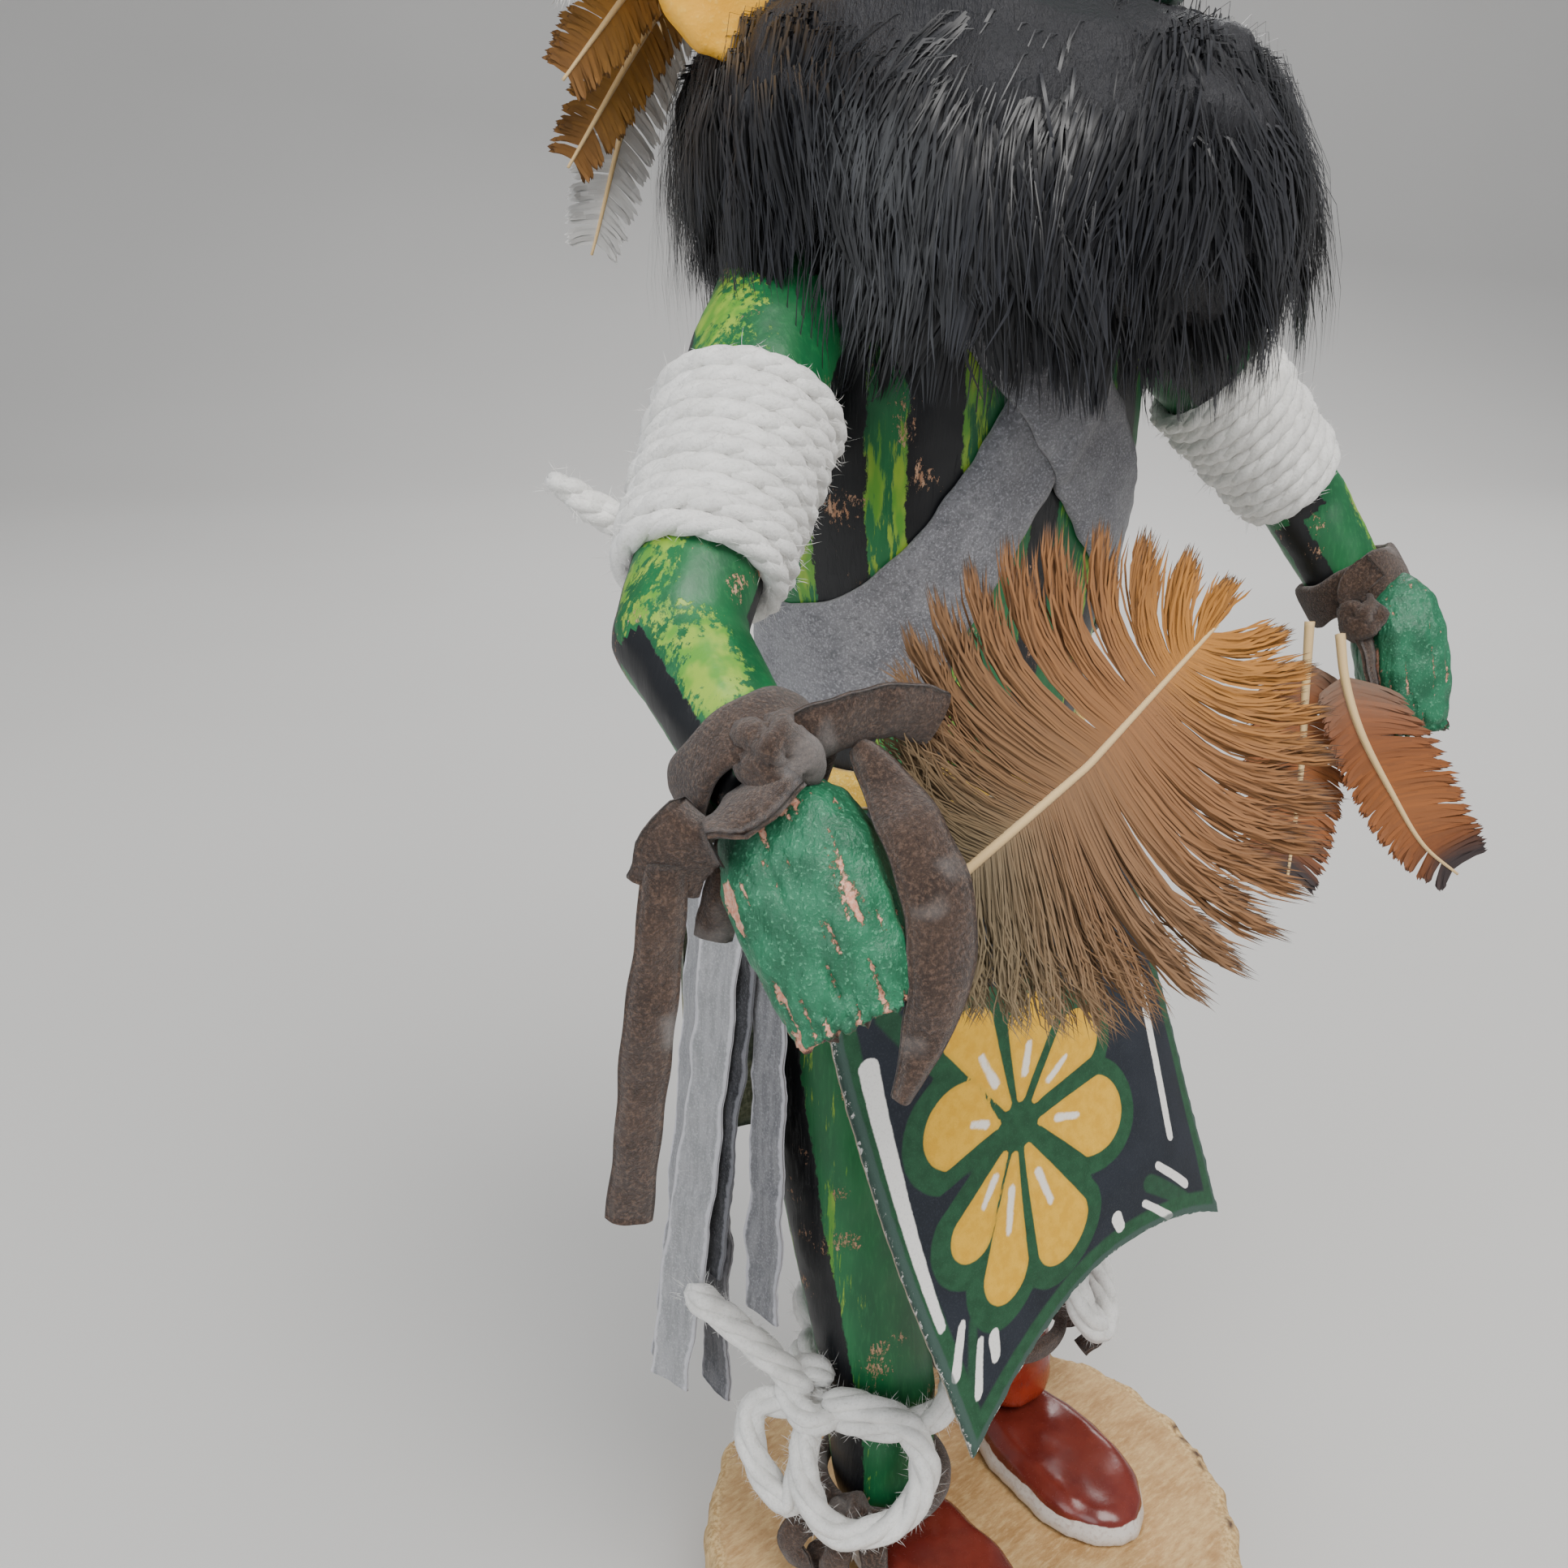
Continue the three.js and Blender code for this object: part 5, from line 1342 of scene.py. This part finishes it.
def fan_point(flat, lift=0.0):
    flat = np.asarray(flat, float)
    return FAN_BASE + flat[:, :1] * FAN_ALONG + flat[:, 1:2] * FAN_UP + np.reshape(lift, (-1,
        1)) * FAN_TOWARDS


def spaced(points, share):
    points = np.array(points, float)
    run = np.concatenate([[0], np.cumsum(np.linalg.norm(np.diff(points, axis=0), axis=1))])
    return np.stack([np.interp(share * run[-1], run, points[:, k]) for k in range(2)], axis=1)


def fan():
    """The broad downy feather in the right hand, splayed in separate tufts."""
    rng = np.random.default_rng(91)
    soup = Soup()
    quill = fan_point(spaced(FAN_QUILL, np.linspace(0, 1, 60)))
    tube_into(soup, quill, np.linspace(0.75, 0.2, 60), 8, FAN_TOWARDS, quill=1.0, along=0.5, shade=0.0,
        out=0.0)
    for side, tufts, count in (("upper", 13, 1700), ("lower", 15, 2300)):
        share = rng.uniform(0, 1, count)
        clump = (np.floor(share * tufts) + 0.5) / tufts
        loose = rng.uniform(0, 1, count) < 0.22
        pull = np.where(loose, 0.12, 0.8) * (0.6 + 0.4 * np.sin(clump * 40) ** 2)
        at = share + (clump - share) * pull
        tip = fan_edge(side, at)
        root_at = 0.36 + 0.62 * share**0.85
        root = spaced(FAN_QUILL, root_at)
        span = tip - root
        reach = rng.uniform(0.72, 1.05, count)[:, None] * (1 - 0.12 * np.abs(at - clump) * tufts)[:, None]
        tip = root + span * reach
        normal = FAN_TOWARDS
        downy = np.clip(1.25 - 2.4 * share, 0, 1)
        lift = rng.normal(size=count) * (0.7 + 1.4 * downy)
        p0, p1 = fan_point(root), fan_point(tip, lift + 0.015 * (span**2).sum(1) * 0.1)
        bow = fan_point(np.stack([span[:, 1] * -0.1 * np.sign(span[:, 1]), span[:, 1] * 0.1],
            axis=1)) - FAN_BASE
        for part, wave, width in ((downy > 0.45, 1.2, 0.12), (downy <= 0.45, 0.25, 0.22)):
            barbs_into(soup, p0[part], p1[part], bow[part], normal, rng, width, points=7, wave=wave,
                spray=0.4,
                       along=share[part], shade=rng.uniform(0, 1, part.sum()) ** 1.5, quill=0.0)
    hues = ((0.17, 0.125, 0.065), (0.2, 0.1, 0.04), (0.26, 0.11, 0.035), (0.42, 0.17, 0.025))
    paint = feather_paint("fan_feather", hues, (0.03, 0.02, 0.015), tip_at=0.93)
    finish_piece(mesh_from("broad_feather", soup), paint, "feather", "feather_right")


fan()
RUSTS = feather_paint("rust_feather", ((0.16, 0.12, 0.09), (0.24, 0.075, 0.02), (0.28, 0.09, 0.02), (0.16,
    0.05, 0.015)),
                      (0.03, 0.02, 0.02), 0.95, 0.9)
GOLDS = feather_paint("golden_feather", ((0.24, 0.13, 0.04), (0.32, 0.17, 0.045), (0.4, 0.2, 0.04), (0.26,
    0.12, 0.03)),
                      (0.06, 0.03, 0.02), 0.93)
WHITES = feather_paint("white_plume", ((0.8, 0.79, 0.76), (0.85, 0.84, 0.82), (0.85, 0.84, 0.82), (0.8,
    0.79, 0.77)),
                       (0.85, 0.84, 0.82))
plumage("held_feather_front", "feather_left_front",
        [(52.4, -13.6, 158.6), (50.6, -16.4, 152.8), (49.1, -20.5, 146.9), (50, -26, 139), (51.1, -31.2,
            132.5),
         (54.7, -35, 128.3)], 9, 5, (-0.7, -0.6, 0.3), RUSTS, "feather", 92)
plumage("held_feather_back", "feather_left_back",
        [(50.4, -9.8, 160), (48.6, -11.6, 151), (45.2, -14.6, 140), (38.6, -18.6, 126)], 7, 8, (-0.6, -0.75,
            0.2),
        RUSTS, "feather", 93)
HEAD_FEATHERS = [
    ("plume", [(-21, 27, 262), (-34, 28.5, 252), (-47, 29, 241)], 9, WHITES, "plume", True),
    ("brown_feather_upper", [(-18, 34.5, 254), (-30, 34, 241), (-42, 33.5, 229)], 5, GOLDS, "feather", False),
    ("brown_feather_lower", [(-14, 38.5, 250), (-27, 38.2, 235), (-39, 38, 220)], 5, GOLDS, "feather", False),
    ("cream_feather", [(-12, 42, 248), (-25, 43, 230), (-33, 43, 210)], 6, WHITES, "plume", False),
]
for side in ("right", "left"):
    for k, (name, line, wide, paint, slot, downy) in enumerate(HEAD_FEATHERS):
        line = line if side == "right" else mirrored(line, (0, 0, 0))
        plumage(f"barbed_{name}_{side}", f"{name}_{side}", line, wide, wide, (0, -1, 0), paint, slot,
            94 + k, downy,
                count=130)

# ---------------------------------------------------------------- fur

FUR_PROFILE = np.array([(25, 207), (31, 210), (34.5, 216), (35, 226), (31, 235), (25, 238.5), (20, 236)],
    float)


def fur_point(share, angle, inset=0.0):
    """A point of the ruff: share along its profile from the lower inside edge to the upper one."""
    run = np.concatenate([[0], np.cumsum(np.linalg.norm(np.diff(FUR_PROFILE, axis=0), axis=1))])
    r = np.interp(share * run[-1], run, FUR_PROFILE[:, 0])
    z = np.interp(share * run[-1], run, FUR_PROFILE[:, 1])
    lock = 1 + 0.025 * np.cos(8 * angle) + 0.015 * np.cos(5 * angle + 1) + 0.03 * np.cos(angle + 0.7)
    middle = np.array([25.0, 219.0])
    r, z = r * lock, z
    r, z = r + (middle[0] - r) * inset, z + (middle[1] - z) * inset
    x = MID_X + r * np.cos(angle)
    return np.stack([x, NECK[1] + r * np.sin(angle), z - 0.12 * (x - MID_X)], axis=-1)


def hair_lines(share, angle, length, rng, points=5):
    """Hairs that leave the ruff outwards and lie down over it, each as a line of points."""
    root = fur_point(share, angle, 0.2)
    skin = fur_point(share, angle)
    out = unit(skin - root)
    around = np.stack([-np.sin(angle), np.cos(angle), 0 * angle], axis=-1)
    swirl = (field(root, 24, 81) * 0.5 + rng.normal(size=len(share)) * 0.14)[:, None]
    step = length / (points - 1)
    lines = [root]
    for k in range(1, points):
        t = k / (points - 1)
        way = unit(out * (0.95 - 1.05 * t) + around * swirl - UP * (0.35 + 1.15 * t))
        lines.append(lines[-1] + way * step[:, None])
    return np.stack(lines, axis=1)


def fur_coat(name, seed, strands, locks, width, long, together):
    rng = np.random.default_rng(seed)
    share = rng.uniform(0, 1, locks) ** 0.9
    angle = rng.uniform(0, 2 * np.pi, locks)
    length = long * rng.uniform(0.75, 1.2, locks)
    guides = hair_lines(share, angle, length, rng)
    mine = rng.integers(0, locks, strands)
    s = np.clip(share[mine] + rng.normal(size=strands) * 0.028, 0, 1)
    a = angle[mine] + rng.normal(size=strands) * 0.055
    lines = hair_lines(s, a, length[mine] * rng.uniform(0.7, 1.15, strands), rng)
    t = np.linspace(0, 1, lines.shape[1])[None, :, None]
    lines = lines + (guides[mine] - lines) * (together * t**1.2)
    lines[:, :, 2] = np.maximum(lines[:, :, 2], 193 - 0.12 * (lines[:, :, 0] - MID_X))
    lines = lines + rng.normal(size=(strands, 1, 3)) * 0.25 * t
    along = unit(lines[:, -1] - lines[:, 0])
    across = unit(np.cross(along, lines[:, 2] - np.array([MID_X, NECK[1], 219])) + rng.normal(size=(strands,
        3)) * 0.2)
    soup = Soup()
    # Each strand's tone, mostly shared with its lock, sets how black it is and whether its tip gets the
    # painted blue-grey sheen.
    tone_and_sheen = (rng.uniform(0, 1, locks)[mine] * 0.6 + rng.uniform(0, 1, strands) * 0.4)
    ribbons_into(soup, lines, across[:, None], width, out=np.broadcast_to(t[0, :, 0], lines.shape[:2]),
        shade=tone_and_sheen)
    return mesh_from(name, soup)


def fur():
    f = Finish("black_fur")
    tone_and_sheen = f.value("shade")
    color = f.mix(tone_and_sheen.above(0.55, 0.3), (0.003, 0.0032, 0.0045), (0.009, 0.0095, 0.013))
    # Painted sheen, partly the fur's own greyer guard-hair tips: blue-grey towards the ends of the strands
    # whose tone is high.
    color = f.mix(f.value("out").above(0.75, 0.25).both(tone_and_sheen.above(0.6, 0.2)) * 0.6, color, (0.04, 0.043,
        0.055))
    paint = f.done(color, f.noise(4, 2) * 0.15 + 0.33, specular_ior_level=0.5, sheen_weight=0.12)
    under = carved("fur_undercoat", "fur_collar", 1.8, 8)
    p = points_of(under)
    move_points(under, p - normals_of(under) * (2.6 + 0.6 * field(p, 9, 82))[:, None])
    g = Finish("fur_undercoat")
    hair = g.noise(0.6, 4, (1, 1, 0.15), 0.7)
    g.bump(hair, 0.5, 1)
    finish_piece(under, g.done(g.mix(hair, (0.004, 0.004, 0.005), (0.015, 0.015, 0.02)), 0.6), "fur",
        "fur_collar")
    finish_piece(fur_coat("fur_locks_outer", 83, 16000, 700, 0.34, 15, 0.75), paint, "fur")
    finish_piece(fur_coat("fur_locks_inner", 84, 13000, 480, 0.36, 12.5, 0.5), paint, "fur")
    finish_piece(fur_coat("fur_guard_hairs", 85, 7000, 900, 0.14, 19, 0.3), paint, "fur")


fur()


# ---------------------------------------------------------------- stage, light and camera


def stage():
    """A pale floor that sweeps up into a backdrop."""
    soup = Soup()
    back = np.linspace(0, 1, 24)
    depth = np.concatenate([[-2500], 900 + 500 * np.sin(back * np.pi / 2), [1400]])
    height = np.concatenate([[0], 500 * (1 - np.cos(back * np.pi / 2)), [3000]])
    turn = math.radians(-40)
    look = np.array([-math.sin(turn), math.cos(turn), 0])
    across = np.array([look[1], -look[0], 0])
    rows = [look * d + UP * h for d, h in zip(depth, height)]
    points = np.array([[r - across * 3000, r + across * 3000] for r in rows])
    soup.add(points.reshape(-1, 3), grid_faces(len(rows), 2))
    floor = mesh_from("floor", soup)
    f = Finish("pale_floor")
    cloud = f.noise(260, 2)
    floor.data.materials.append(f.done(f.mix(cloud, (0.52, 0.51, 0.49), (0.58, 0.57, 0.55)), 0.85))
    floor.data.polygons.foreach_set("use_smooth", np.ones(len(floor.data.polygons), bool))


def light(name, place, target, size, power, tint=(1, 1, 1)):
    lamp = bpy.data.lights.new(name, "AREA")
    lamp.shape = "DISK"
    lamp.size = size
    lamp.energy = power
    lamp.color = tint
    obj = link(bpy.data.objects.new(name, lamp))
    obj.location = Vector(place)
    obj.rotation_euler = (Vector(target) - Vector(place)).to_track_quat("-Z", "Y").to_euler()


stage()
light("key_light", (-0.1, -0.55, 1.0), (0, 0, 0.15), 0.7, 13, (1, 0.98, 0.95))
light("fill_light", (-0.9, -0.2, 0.5), (0, 0, 0.15), 0.8, 5, (0.93, 0.97, 1))
light("back_light", (0.75, 0.6, 0.75), (0, 0, 0.2), 0.5, 8)
world = bpy.data.worlds.new("studio")
world.use_nodes = True
world.node_tree.nodes["Background"].inputs["Color"].default_value = (0.9, 0.93, 1, 1)
world.node_tree.nodes["Background"].inputs["Strength"].default_value = 0.45
bpy.context.scene.world = world

camera = link(bpy.data.objects.new("camera", bpy.data.cameras.new("camera")))
camera.location = (-0.1447, -0.1266, 0.222)
camera.rotation_euler = (math.radians(68), 0, math.radians(-40))
camera.data.lens = 36.09
camera.data.sensor_width = 36
camera.data.clip_start = 0.01
camera.data.clip_end = 20
bpy.context.scene.camera = camera
